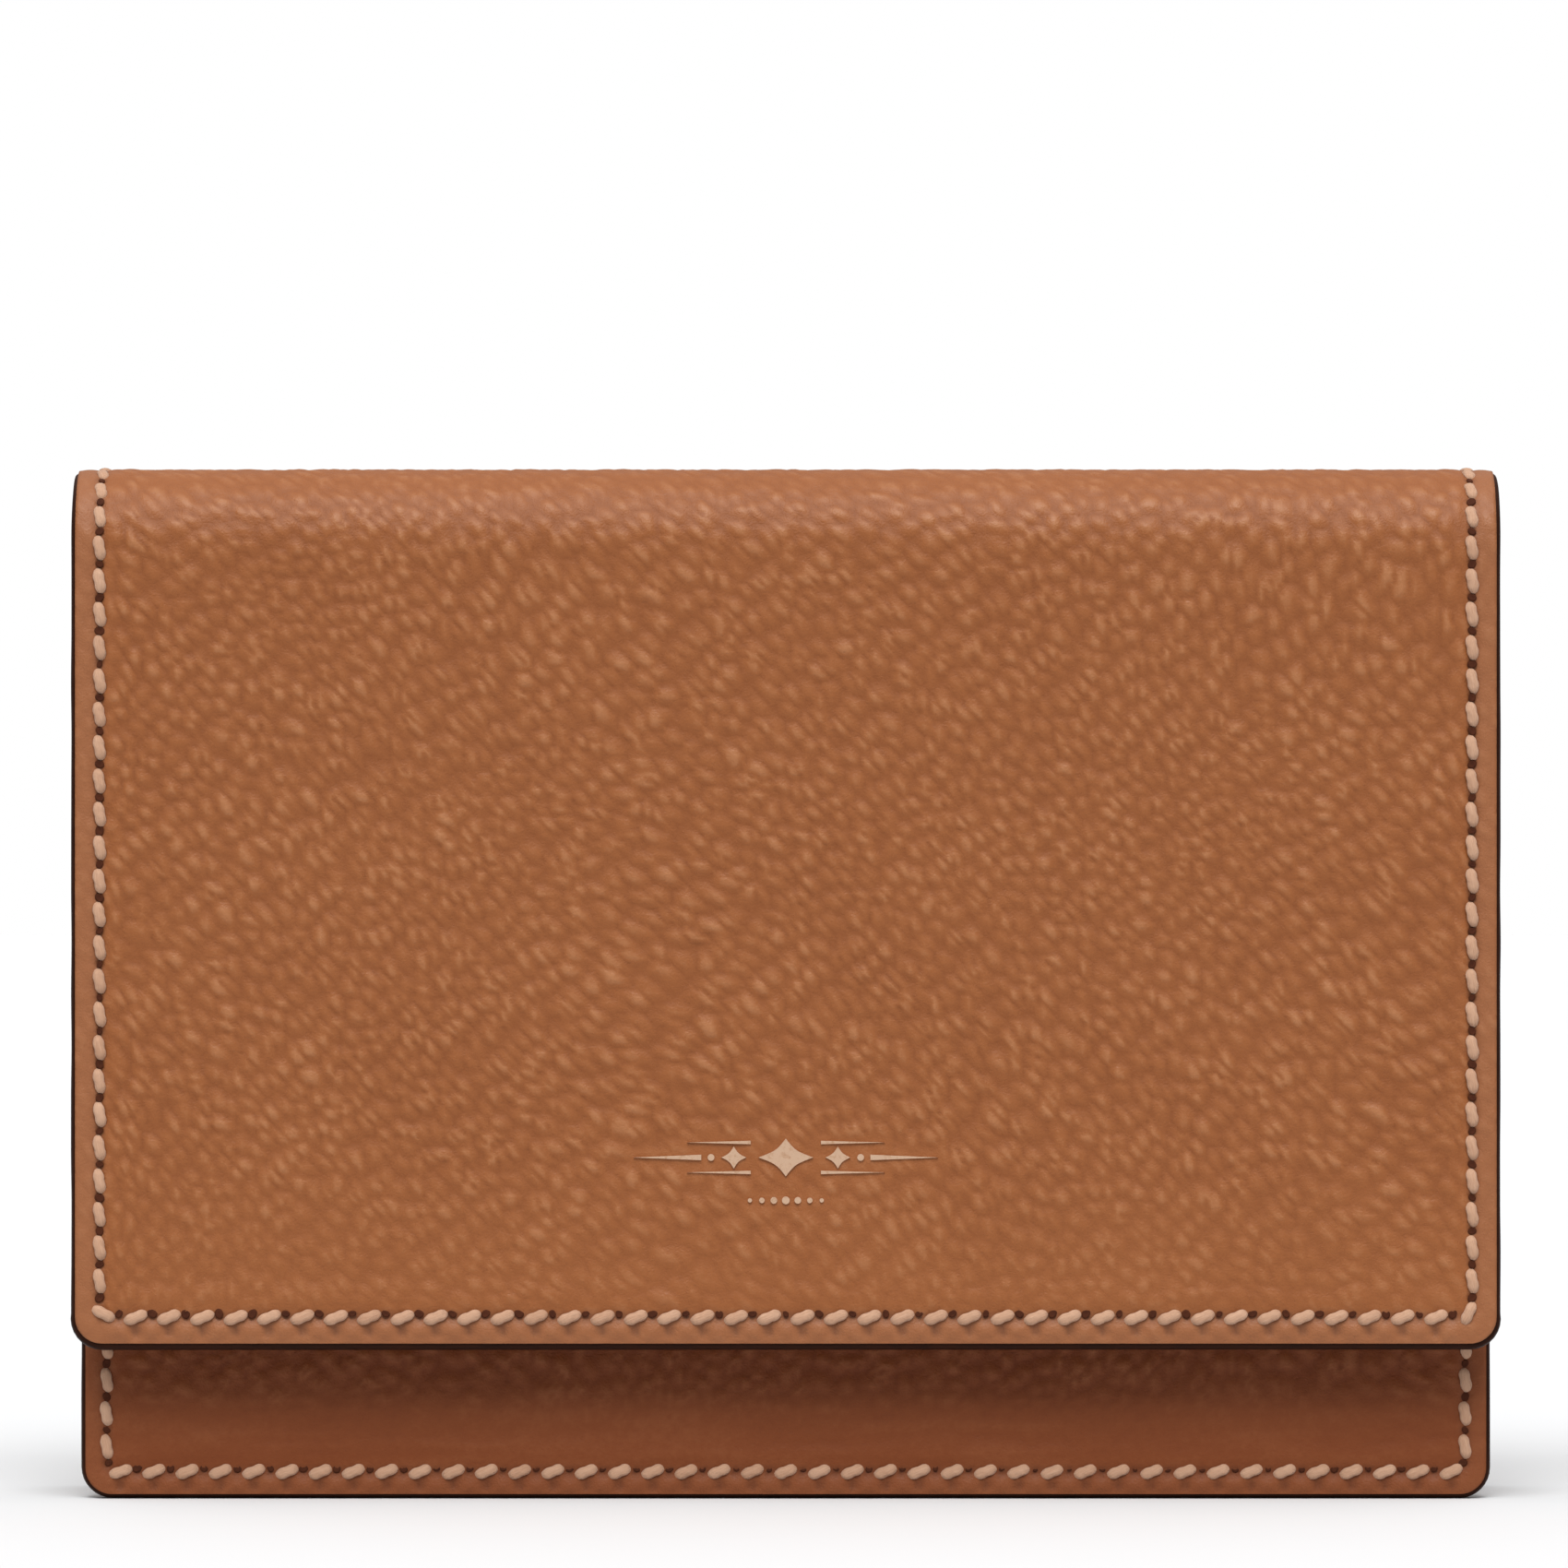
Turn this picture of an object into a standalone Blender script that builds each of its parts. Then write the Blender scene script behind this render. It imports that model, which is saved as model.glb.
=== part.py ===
"""A flap card holder in leather, standing upright and closed.

Metres. X runs across the holder, +Y points out of its back, +Z is up, and the origin is the middle of the
bottom of its bounding box. One cover makes the back, the spine and the flap: it is parted where it folds, so
that the flap can be lifted. Inside, a divider between two pleated side gussets makes two compartments.
"""

import math

import bmesh
import bpy
from mathutils import Matrix, Vector

# The cover
COVER_WIDTH = 0.110
HEIGHT = 0.0797
FOLD_RADIUS = 0.006  # outside of each of its two folds
HINGE_GAP = 0.00015  # on each side of the plane that parts a fold
FLAP_HEM_Z = 0.0122
CORNER = 0.0024
EDGE_ROUND = 0.0002
LINING_INSET = 0.0004  # a lining stops this far inside the leather's edge
BOARD_INSET = 0.0045  # a stiffener stops this far inside it
BOARD_TOP_GAP = 0.0004  # below the start of the fold

# The front and what stands inside
FRONT_WIDTH = 0.1091
FRONT_TOP_Z = 0.0665
DIVIDER_WIDTH = 0.0884
DIVIDER_TOP_Z = 0.0655
SLOT_WIDTH = 0.0960
SLOT_UPPER_TOP_Z = 0.0565
SLOT_LOWER_TOP_Z = 0.0465
INSIDE_FOOT_Z = 0.0046  # foot of the divider and of the card slots
GUSSET_THICKNESS = 0.0005
GUSSET_FLANGE = 0.0037
GUSSET_FOLD_X = 0.04495
GUSSET_TOP_Z = 0.0650
GUSSET_FOOT_Z = 0.0044
FLOOR_Z = 0.00385  # middle of the bottom gusset
FLOOR_FLANGE_Z = 0.0006
FLOOR_WIDTH = 0.1030

# The layers from the back to the front: name, thickness, and the space in front of each
CLEAR = 0.0002
COMPARTMENT = 0.0044
SNAP_SPACE = 0.0026
LEATHER = 0.0011
LAYERS = (
    ("back_panel", LEATHER, CLEAR),
    ("back_lining", 0.0005, CLEAR),
    ("card_slot_upper", 0.0005, CLEAR),
    ("card_slot_lower", 0.0005, COMPARTMENT),
    ("divider", 0.0010, COMPARTMENT),
    ("front_lining", 0.0005, CLEAR),
    ("front_board", 0.0006, CLEAR),
    ("front_panel", LEATHER, SNAP_SPACE),
    ("flap_lining", 0.0006, CLEAR),
    ("flap_board", 0.0006, CLEAR),
    ("flap_panel", LEATHER, 0.0),
)
DEPTH = sum(thickness + space for _, thickness, space in LAYERS)
SPINE_LINING = (LEATHER + CLEAR, LEATHER + CLEAR + 0.0005)  # depths of its two faces below the cover's

# Stitching: a thread lies in a groove
THREAD_RADIUS = 0.00022
THREAD_DEPTH = 0.00023  # middle of the thread below the face
GROOVE_RADIUS = 0.0005
COVER_SEAM_INSET = 0.00225
FRONT_SEAM_INSET = 0.0020
HEM_SEAM_UP = 0.0021
SEAM_CORNER = 0.0010
FRONT_SEAM_DROP = 0.0020  # from the front's top edge to the end of its thread
GROOVE_REACH = 0.0004  # a groove runs this far past its thread

# Snap fastener
SNAP_Z = 0.026
RIVET_RADIUS = 0.0014
RIVET_HOLE_RADIUS = 0.0018
PLATE_RADIUS = 0.0052
PLATE_HOLE_RADIUS = 0.0058
PLATE_THICKNESS = 0.0005
SOCKET_RADIUS = 0.0055
SOCKET_CROWN_RADIUS = 0.0042
SOCKET_HOLE_RADIUS = 0.0023
SOCKET_THICKNESS = 0.0014
STUD_RADIUS = 0.0050
STUD_FLANGE = 0.0006
STUD_NECK_RADIUS = 0.0016
STUD_BALL_RADIUS = 0.0020
STUD_HEIGHT = 0.0021

# Smoothness
FOLD_STEPS = 8
CORNER_STEPS = 5
ROUND_STEPS = 32

# Materials: linear colour, roughness, metallic
TAN_LEATHER = ((0.33, 0.123, 0.045), 0.5, 0.0)
LINING_LEATHER = ((0.30, 0.125, 0.055), 0.6, 0.0)
BOARD = ((0.42, 0.38, 0.32), 0.9, 0.0)
CREAM_THREAD = ((0.68, 0.40, 0.26), 0.7, 0.0)
BRASS = ((0.80, 0.56, 0.27), 0.3, 1.0)


def layer_faces():
    """The Y of each layer's back face and front face."""
    faces = {}
    y = DEPTH / 2
    for name, thickness, space in LAYERS:
        faces[name] = (y, y - thickness)
        y -= thickness + space
    return faces


FACES = layer_faces()
HINGE_INSET = FOLD_RADIUS * (1 - math.sqrt(0.5))
SPINE_HINGE = Vector((0, DEPTH / 2 - HINGE_INSET, HEIGHT - HINGE_INSET))
FLAP_HINGE = Vector((0, HINGE_INSET - DEPTH / 2, HEIGHT - HINGE_INSET))
DIVIDER_HINGE = Vector((0, sum(FACES["divider"]) / 2, INSIDE_FOOT_Z))
FRONT_HINGE = Vector((0, FACES["front_panel"][1], 0))


# ---- building ----


def clear_scene():
    for obj in list(bpy.data.objects):
        bpy.data.objects.remove(obj)


def new_collection(name, hidden):
    made = bpy.data.collections.new(name)
    made.hide_render = hidden
    bpy.context.scene.collection.children.link(made)
    return made


def finish_mesh(name, bm, where):
    bmesh.ops.remove_doubles(bm, verts=bm.verts, dist=1e-7)
    bmesh.ops.recalc_face_normals(bm, faces=bm.faces)
    mesh = bpy.data.meshes.new(name)
    bm.to_mesh(mesh)
    bm.free()
    obj = bpy.data.objects.new(name, mesh)
    where.objects.link(obj)
    return obj


def extrude(outline, axis, low, high):
    """A prism along an axis. The outline holds the other two coordinates, in X, Y, Z order."""
    place = "XYZ".index(axis)
    bm = bmesh.new()
    corners = []
    for pair in outline:
        corner = list(pair)
        corner.insert(place, low)
        corners.append(bm.verts.new(corner))
    face = bm.faces.new(corners)
    grown = bmesh.ops.extrude_face_region(bm, geom=[face])["geom"]
    shift = Vector((0, 0, 0))
    shift[place] = high - low
    moved = [item for item in grown if isinstance(item, bmesh.types.BMVert)]
    bmesh.ops.translate(bm, verts=moved, vec=shift)
    return bm


def round_corners(bm, z, radius):
    """Rounds the corners at height z: the edges that run straight through the layer there."""

    def is_corner(edge):
        a, b = (vert.co for vert in edge.verts)
        at_height = abs(a.z - z) < 1e-6 and abs(b.z - z) < 1e-6
        return at_height and abs(a.x - b.x) < 1e-6

    corners = [edge for edge in bm.edges if is_corner(edge)]
    bmesh.ops.bevel(bm, geom=corners, offset=radius, segments=CORNER_STEPS, profile=0.5, affect="EDGES")


def slab(name, half_width, low_z, high_z, where, low_corner=CORNER, high_corner=CORNER):
    """A flat layer, as thick as its entry in LAYERS."""
    back, front = FACES[name]
    outline = [(-half_width, low_z), (half_width, low_z), (half_width, high_z), (-half_width, high_z)]
    bm = extrude(outline, "Y", front, back)
    if low_corner:
        round_corners(bm, low_z, low_corner)
    if high_corner:
        round_corners(bm, high_z, high_corner)
    return finish_mesh(name, bm, where)


def strip(line, thickness):
    """The outline of a strip that follows a line, half its thickness on each side."""
    points = [Vector(point) for point in line]
    left, right = [], []
    for index, point in enumerate(points):
        before = (point - points[max(index - 1, 0)]).normalized()
        after = (points[min(index + 1, len(points) - 1)] - point).normalized()
        along = (before + after).normalized()
        across = Vector((-along.y, along.x))
        step = before if before.length > 0 else after
        spread = thickness / 2 / max(across.dot(Vector((-step.y, step.x))), 0.5)
        left.append(point + across * spread)
        right.append(point - across * spread)
    return [tuple(point) for point in left + right[::-1]]


def bend(corner, before, after, radius):
    """The points of a line that turns a corner between two neighbours with this radius."""
    corner, before, after = Vector(corner), Vector(before), Vector(after)
    start = (before - corner).normalized()
    end = (after - corner).normalized()
    half_angle = start.angle(end) / 2
    reach = radius / math.tan(half_angle)
    centre = corner + (start + end).normalized() * radius / math.sin(half_angle)
    first = (corner + start * reach - centre).normalized()
    last = (corner + end * reach - centre).normalized()
    turns = [first.slerp(last, step / CORNER_STEPS) for step in range(CORNER_STEPS + 1)]
    return [tuple(centre + turn * radius) for turn in turns]


def tube(name, path, radius, where):
    """A round cord along a path."""
    curve = bpy.data.curves.new(name, "CURVE")
    curve.dimensions = "3D"
    curve.bevel_depth = radius
    curve.bevel_resolution = 2
    curve.use_fill_caps = True
    spline = curve.splines.new("POLY")
    spline.points.add(len(path) - 1)
    for point, place in zip(spline.points, path):
        point.co = (*place, 1)
    drawn = bpy.data.objects.new(name + " path", curve)
    bpy.context.scene.collection.objects.link(drawn)
    graph = bpy.context.evaluated_depsgraph_get()
    bm = bmesh.new()
    bm.from_mesh(bpy.data.meshes.new_from_object(drawn.evaluated_get(graph)))
    bpy.data.objects.remove(drawn)
    return finish_mesh(name, bm, where)


def lathe(name, profile, where):
    """Turns a profile of (radius, Y) about the snap's axis: from the axis to the axis, or a loop clear of it."""
    bm = bmesh.new()
    points = [bm.verts.new((radius, y, SNAP_Z)) for radius, y in profile]
    edges = [bm.edges.new(pair) for pair in zip(points, points[1:])]
    if profile[0][0] > 0:
        edges.append(bm.edges.new((points[-1], points[0])))
    bmesh.ops.spin(
        bm,
        geom=points + edges,
        cent=(0, 0, SNAP_Z),
        axis=(0, 1, 0),
        angle=math.tau,
        steps=ROUND_STEPS,
        use_merge=True,
    )
    return finish_mesh(name, bm, where)


def soften(obj):
    bevel = obj.modifiers.new("soft edges", "BEVEL")
    bevel.width = EDGE_ROUND
    bevel.segments = 2
    bevel.limit_method = "ANGLE"
    bevel.angle_limit = math.radians(40)


def cut(obj, cutter):
    boolean = obj.modifiers.new("cut " + cutter.name, "BOOLEAN")
    boolean.operation = "DIFFERENCE"
    boolean.solver = "EXACT"
    boolean.object = cutter
    cutter.hide_render = True
    cutter.display_type = "WIRE"


def punch(obj, name, radius, cutters):
    """A round hole through a layer on the snap's axis."""
    back, front = FACES[obj.name]
    profile = [(0, front - CLEAR / 2), (radius, front - CLEAR / 2), (radius, back + CLEAR / 2), (0, back + CLEAR / 2)]
    cut(obj, lathe(name, profile, cutters))


# ---- the cover's folds ----


def fold_point(side, depth, degrees):
    """(Y, Z) in a fold, this deep below the face. side is 1 at the back's fold and -1 at the flap's. 0 degrees
    points out of the wall and 90 straight up."""
    radius = FOLD_RADIUS - depth
    turn = math.radians(degrees)
    y = side * (DEPTH / 2 - FOLD_RADIUS + radius * math.cos(turn))
    z = HEIGHT - FOLD_RADIUS + radius * math.sin(turn)
    return y, z


def gap_degrees(depth):
    """How far the hinge gap reaches from the middle of a fold, at this depth."""
    return math.degrees(math.asin(HINGE_GAP / (FOLD_RADIUS - depth)))


def even_steps(first, last):
    return [first + (last - first) * step / FOLD_STEPS for step in range(FOLD_STEPS + 1)]


def wall_line(side, foot_z, foot_depth, fold_depth):
    """One face of a wall from its foot up, then through its own half of the fold."""
    turns = even_steps(0, 45 - gap_degrees(fold_depth))
    depths = even_steps(foot_depth, fold_depth)
    fold = [fold_point(side, depth, turn) for depth, turn in zip(depths, turns)]
    return [(side * (DEPTH / 2 - foot_depth), foot_z)] + fold


def spine_line(depth, past=None):
    """One face of the spine, from its half of the back's fold to its half of the flap's."""
    past = -gap_degrees(depth) if past is None else past
    turns = even_steps(45 - past, 90)
    back = [fold_point(1, depth, turn) for turn in turns]
    front = [fold_point(-1, depth, turn) for turn in reversed(turns)]
    return back + front


def cover_wall(name, side, foot_z, foot_depths, fold_depths, half_width, where):
    """A layer of the back or of the flap."""
    outer = wall_line(side, foot_z, foot_depths[0], fold_depths[0])
    inner = wall_line(side, foot_z, foot_depths[1], fold_depths[1])
    bm = extrude(outer + inner[::-1], "X", -half_width, half_width)
    round_corners(bm, foot_z, CORNER)
    return finish_mesh(name, bm, where)


def cover_spine(name, depths, half_width, where):
    outline = spine_line(depths[0]) + spine_line(depths[1])[::-1]
    return finish_mesh(name, extrude(outline, "X", -half_width, half_width), where)


# ---- stitching ----


def seam_hem(half, z, y):
    """The lower part of a seam: round one corner, along the hem, and round the other."""
    left = bend((-half, z), (-half, z + 1), (half, z), SEAM_CORNER)
    right = bend((half, z), (-half, z), (half, z + 1), SEAM_CORNER)
    return [(x, y, height) for x, height in left + right]


def wall_seam(side, foot_z, past):
    """The seam of the back or of the flap. It ends this many degrees past the middle of the fold."""
    half = COVER_WIDTH / 2 - COVER_SEAM_INSET
    fold = [fold_point(side, THREAD_DEPTH, turn) for turn in even_steps(0, 45 + past)]
    left = [(-half, y, z) for y, z in reversed(fold)]
    right = [(half, y, z) for y, z in fold]
    return left + seam_hem(half, foot_z + HEM_SEAM_UP, side * (DEPTH / 2 - THREAD_DEPTH)) + right


def front_seam(top_z):
    half = FRONT_WIDTH / 2 - FRONT_SEAM_INSET
    y = FACES["front_panel"][1] + THREAD_DEPTH
    return [(-half, y, top_z)] + seam_hem(half, HEM_SEAM_UP, y) + [(half, y, top_z)]


# ---- the pieces ----


def make_back(parts, cutters):
    panel = cover_wall("back_panel", 1, 0, (0, LEATHER), (0, LEATHER), COVER_WIDTH / 2, parts)
    soften(panel)
    cut(panel, tube("back groove", wall_seam(1, 0, 5), GROOVE_RADIUS, cutters))
    half = COVER_WIDTH / 2 - LINING_INSET
    lining = cover_wall("back_lining", 1, LINING_INSET, SPINE_LINING, SPINE_LINING, half, parts)
    thread = tube("back_thread", wall_seam(1, 0, -gap_degrees(THREAD_DEPTH)), THREAD_RADIUS, parts)
    return {panel: TAN_LEATHER, lining: LINING_LEATHER, thread: CREAM_THREAD}


def make_card_slots(parts):
    half = SLOT_WIDTH / 2
    upper = slab("card_slot_upper", half, INSIDE_FOOT_Z, SLOT_UPPER_TOP_Z, parts, low_corner=0)
    lower = slab("card_slot_lower", half, INSIDE_FOOT_Z, SLOT_LOWER_TOP_Z, parts, low_corner=0)
    return {upper: LINING_LEATHER, lower: LINING_LEATHER}


def make_gussets(parts):
    back_y = FACES["back_lining"][1] - CLEAR - GUSSET_THICKNESS / 2
    front_y = FACES["front_lining"][0] + CLEAR + GUSSET_THICKNESS / 2
    edge_x = FRONT_WIDTH / 2 - LINING_INSET
    flange_x = edge_x - GUSSET_FLANGE
    fold = (GUSSET_FOLD_X, DIVIDER_HINGE.y)
    pleat = [
        (edge_x, back_y),
        *bend((flange_x, back_y), (edge_x, back_y), fold, 2 * GUSSET_THICKNESS),
        *bend(fold, (flange_x, back_y), (flange_x, front_y), GUSSET_THICKNESS),
        *bend((flange_x, front_y), fold, (edge_x, front_y), 2 * GUSSET_THICKNESS),
        (edge_x, front_y),
    ]
    made = {}
    for name, side in (("gusset_left", -1), ("gusset_right", 1)):
        line = [(side * x, y) for x, y in pleat]
        bm = extrude(strip(line, GUSSET_THICKNESS), "Z", GUSSET_FOOT_Z, GUSSET_TOP_Z)
        made[finish_mesh(name, bm, parts)] = LINING_LEATHER
    floor = [
        (back_y, FLOOR_FLANGE_Z),
        *bend((back_y, FLOOR_Z), (back_y, FLOOR_FLANGE_Z), (front_y, FLOOR_Z), 2 * GUSSET_THICKNESS),
        *bend((front_y, FLOOR_Z), (back_y, FLOOR_Z), (front_y, FLOOR_FLANGE_Z), 2 * GUSSET_THICKNESS),
        (front_y, FLOOR_FLANGE_Z),
    ]
    bm = extrude(strip(floor, GUSSET_THICKNESS), "X", -FLOOR_WIDTH / 2, FLOOR_WIDTH / 2)
    made[finish_mesh("gusset_bottom", bm, parts)] = LINING_LEATHER
    return made


def make_divider(parts):
    divider = slab("divider", DIVIDER_WIDTH / 2, INSIDE_FOOT_Z, DIVIDER_TOP_Z, parts, low_corner=0)
    soften(divider)
    return {divider: LINING_LEATHER}


def make_front(parts, cutters):
    half = FRONT_WIDTH / 2
    panel = slab("front_panel", half, 0, FRONT_TOP_Z, parts)
    soften(panel)
    thread_top = FRONT_TOP_Z - FRONT_SEAM_DROP
    cut(panel, tube("front groove", front_seam(thread_top + GROOVE_REACH), GROOVE_RADIUS, cutters))
    punch(panel, "stud rivet hole", RIVET_HOLE_RADIUS, cutters)
    thread = tube("front_thread", front_seam(thread_top), THREAD_RADIUS, parts)
    board_half = half - BOARD_INSET
    board = slab("front_board", board_half, BOARD_INSET, FRONT_TOP_Z - BOARD_INSET, parts)
    punch(board, "stud plate hole", PLATE_HOLE_RADIUS, cutters)
    lining = slab("front_lining", half - LINING_INSET, LINING_INSET, FRONT_TOP_Z - LINING_INSET, parts)
    return {panel: TAN_LEATHER, thread: CREAM_THREAD, board: BOARD, lining: LINING_LEATHER}


def make_spine(parts, cutters):
    panel = cover_spine("spine_panel", (0, LEATHER), COVER_WIDTH / 2, parts)
    soften(panel)
    made = {panel: TAN_LEATHER}
    for name, side in (("left", -1), ("right", 1)):
        x = side * (COVER_WIDTH / 2 - COVER_SEAM_INSET)
        groove = [(x, y, z) for y, z in spine_line(THREAD_DEPTH, past=5)]
        cut(panel, tube(f"spine groove {name}", groove, GROOVE_RADIUS, cutters))
        path = [(x, y, z) for y, z in spine_line(THREAD_DEPTH)]
        made[tube(f"spine_thread_{name}", path, THREAD_RADIUS, parts)] = CREAM_THREAD
    lining = cover_spine("spine_lining", SPINE_LINING, COVER_WIDTH / 2 - LINING_INSET, parts)
    made[lining] = LINING_LEATHER
    return made


def make_flap(parts, cutters):
    half = COVER_WIDTH / 2
    panel = cover_wall("flap_panel", -1, FLAP_HEM_Z, (0, LEATHER), (0, LEATHER), half, parts)
    soften(panel)
    cut(panel, tube("flap groove", wall_seam(-1, FLAP_HEM_Z, 5), GROOVE_RADIUS, cutters))
    thread = tube("flap_thread", wall_seam(-1, FLAP_HEM_Z, -gap_degrees(THREAD_DEPTH)), THREAD_RADIUS, parts)
    board_top = HEIGHT - FOLD_RADIUS - BOARD_TOP_GAP
    board = slab("flap_board", half - BOARD_INSET, FLAP_HEM_Z + BOARD_INSET, board_top, parts)
    punch(board, "cap hole", PLATE_HOLE_RADIUS, cutters)
    foot_depths = [DEPTH / 2 + y for y in reversed(FACES["flap_lining"])]
    foot_z = FLAP_HEM_Z + LINING_INSET
    lining = cover_wall("flap_lining", -1, foot_z, foot_depths, SPINE_LINING, half - LINING_INSET, parts)
    punch(lining, "cap rivet hole", RIVET_HOLE_RADIUS, cutters)
    return {panel: TAN_LEATHER, thread: CREAM_THREAD, board: BOARD, lining: LINING_LEATHER}


def plate(name, board, rivet_end, where):
    """A flat disc inside a board, with a rivet that stands out of one face as far as rivet_end."""
    middle = sum(FACES[board]) / 2
    towards = math.copysign(PLATE_THICKNESS / 2, rivet_end - middle)
    profile = [
        (0, middle - towards),
        (PLATE_RADIUS, middle - towards),
        (PLATE_RADIUS, middle + towards),
        (RIVET_RADIUS, middle + towards),
        (RIVET_RADIUS, rivet_end),
        (0, rivet_end),
    ]
    return lathe(name, profile, where)


def make_snap_on_flap(parts):
    face = FACES["flap_lining"][0]
    cap = plate("snap_cap", "flap_board", face - CLEAR / 2, parts)
    low = face + CLEAR
    high = low + SOCKET_THICKNESS
    profile = [
        (SOCKET_HOLE_RADIUS, low),
        (SOCKET_RADIUS, low),
        (SOCKET_RADIUS, low + 0.35 * SOCKET_THICKNESS),
        (SOCKET_CROWN_RADIUS + 0.0003, low + 0.5 * SOCKET_THICKNESS),
        (SOCKET_CROWN_RADIUS, low + 0.85 * SOCKET_THICKNESS),
        (SOCKET_CROWN_RADIUS - 0.0003, high),
        (SOCKET_HOLE_RADIUS, high),
    ]
    return {cap: BRASS, lathe("snap_socket", profile, parts): BRASS}


def make_snap_on_front(parts):
    face = FACES["front_panel"][1]
    back_plate = plate("snap_stud_plate", "front_board", face + CLEAR / 2, parts)
    low = face - CLEAR
    flange = low - STUD_FLANGE
    tip = low - STUD_HEIGHT
    profile = [
        (0, low),
        (STUD_RADIUS, low),
        (STUD_RADIUS, low - 0.5 * STUD_FLANGE),
        (STUD_RADIUS - 0.0004, flange),
        (STUD_NECK_RADIUS, flange),
        (STUD_NECK_RADIUS, flange + 0.35 * (tip - flange)),
        (STUD_BALL_RADIUS, flange + 0.6 * (tip - flange)),
        (0.8 * STUD_BALL_RADIUS, flange + 0.9 * (tip - flange)),
        (0.5 * STUD_BALL_RADIUS, tip),
        (0, tip),
    ]
    return {back_plate: BRASS, lathe("snap_stud", profile, parts): BRASS}


def paint(obj, look):
    colour, roughness, metallic = look
    material = bpy.data.materials.new(obj.name)
    material.use_nodes = True
    shader = material.node_tree.nodes["Principled BSDF"]
    shader.inputs["Base Color"].default_value = (*colour, 1)
    shader.inputs["Roughness"].default_value = roughness
    shader.inputs["Metallic"].default_value = metallic
    obj.data.materials.append(material)


def hang(obj, hinge):
    """Moves the object's origin onto its joint's axis, and leaves its shape where it is."""
    obj.data.transform(Matrix.Translation(-hinge))
    obj.location = hinge


def main():
    clear_scene()
    parts = new_collection("card_holder", hidden=False)
    cutters = new_collection("cutters", hidden=True)
    bodies = (
        (Vector((0, 0, 0)), make_back(parts, cutters)),
        (Vector((0, 0, 0)), make_card_slots(parts)),
        (Vector((0, 0, 0)), make_gussets(parts)),
        (DIVIDER_HINGE, make_divider(parts)),
        (FRONT_HINGE, make_front(parts, cutters)),
        (FRONT_HINGE, make_snap_on_front(parts)),
        (SPINE_HINGE, make_spine(parts, cutters)),
        (FLAP_HINGE, make_flap(parts, cutters)),
        (FLAP_HINGE, make_snap_on_flap(parts)),
    )
    for hinge, made in bodies:
        for obj, look in made.items():
            paint(obj, look)
            hang(obj, hinge)


main()
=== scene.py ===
"""How the flap card holder looks: pebbled leather, painted edges, saddle stitching, brass snap, gilt stamp.

Metres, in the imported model's frame: X across, +Y out of the back, +Z up. Along the cover, s is the distance
from the hem of the back, up over the spine and down to the hem of the flap. On the front, s is the height.
A height h is above the outer face. Noise is worked out in millimetres.
"""

import math

import bmesh
import bpy
import numpy as np
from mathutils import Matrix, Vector


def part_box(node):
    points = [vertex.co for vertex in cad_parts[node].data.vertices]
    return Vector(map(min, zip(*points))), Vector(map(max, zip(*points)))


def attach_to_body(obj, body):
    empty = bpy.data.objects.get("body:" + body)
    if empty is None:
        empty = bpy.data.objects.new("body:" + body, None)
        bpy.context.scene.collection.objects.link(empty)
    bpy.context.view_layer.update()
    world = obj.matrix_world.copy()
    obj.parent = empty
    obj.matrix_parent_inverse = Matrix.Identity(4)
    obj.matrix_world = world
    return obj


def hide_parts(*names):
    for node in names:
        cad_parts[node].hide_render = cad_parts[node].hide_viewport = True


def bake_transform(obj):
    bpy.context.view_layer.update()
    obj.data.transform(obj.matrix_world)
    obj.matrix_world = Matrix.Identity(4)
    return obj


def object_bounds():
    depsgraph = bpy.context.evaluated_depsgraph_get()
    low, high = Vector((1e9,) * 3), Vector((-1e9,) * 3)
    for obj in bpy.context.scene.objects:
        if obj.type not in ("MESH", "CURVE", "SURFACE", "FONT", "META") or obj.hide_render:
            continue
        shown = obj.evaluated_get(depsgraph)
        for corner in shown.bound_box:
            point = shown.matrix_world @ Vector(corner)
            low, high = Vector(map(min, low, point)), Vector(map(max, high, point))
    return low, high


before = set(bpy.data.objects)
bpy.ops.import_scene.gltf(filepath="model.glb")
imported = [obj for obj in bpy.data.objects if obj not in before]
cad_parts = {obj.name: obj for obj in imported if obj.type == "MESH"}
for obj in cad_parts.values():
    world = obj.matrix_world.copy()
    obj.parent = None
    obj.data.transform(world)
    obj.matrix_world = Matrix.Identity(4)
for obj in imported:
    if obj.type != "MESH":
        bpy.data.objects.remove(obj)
CAD_LOW, CAD_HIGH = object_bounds()
MM = 0.001

# ---- places, from the frame ----

HALF_DEPTH = CAD_HIGH.y
HEIGHT = CAD_HIGH.z
HALF_WIDTH = CAD_HIGH.x
FLAP_HEM_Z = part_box("flap_panel")[0].z
FRONT_HALF_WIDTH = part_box("front_panel")[1].x
FRONT_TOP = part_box("front_panel")[1].z
FRONT_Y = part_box("front_panel")[0].y
FRONT_INSIDE_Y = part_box("front_lining")[1].y
SNAP_Z = (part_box("snap_stud")[0].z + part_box("snap_stud")[1].z) / 2
FOLD_RADIUS = 6.0 * MM
CORNER = 2.4 * MM
SPINE_THICKNESS = 1.8 * MM
CAP_COVER = 0.1 * MM  # lining over the snap's cap
FLAP_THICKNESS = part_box("snap_cap")[1].y + HALF_DEPTH + CAP_COVER
FRONT_THICKNESS = FRONT_INSIDE_Y - FRONT_Y

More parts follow.
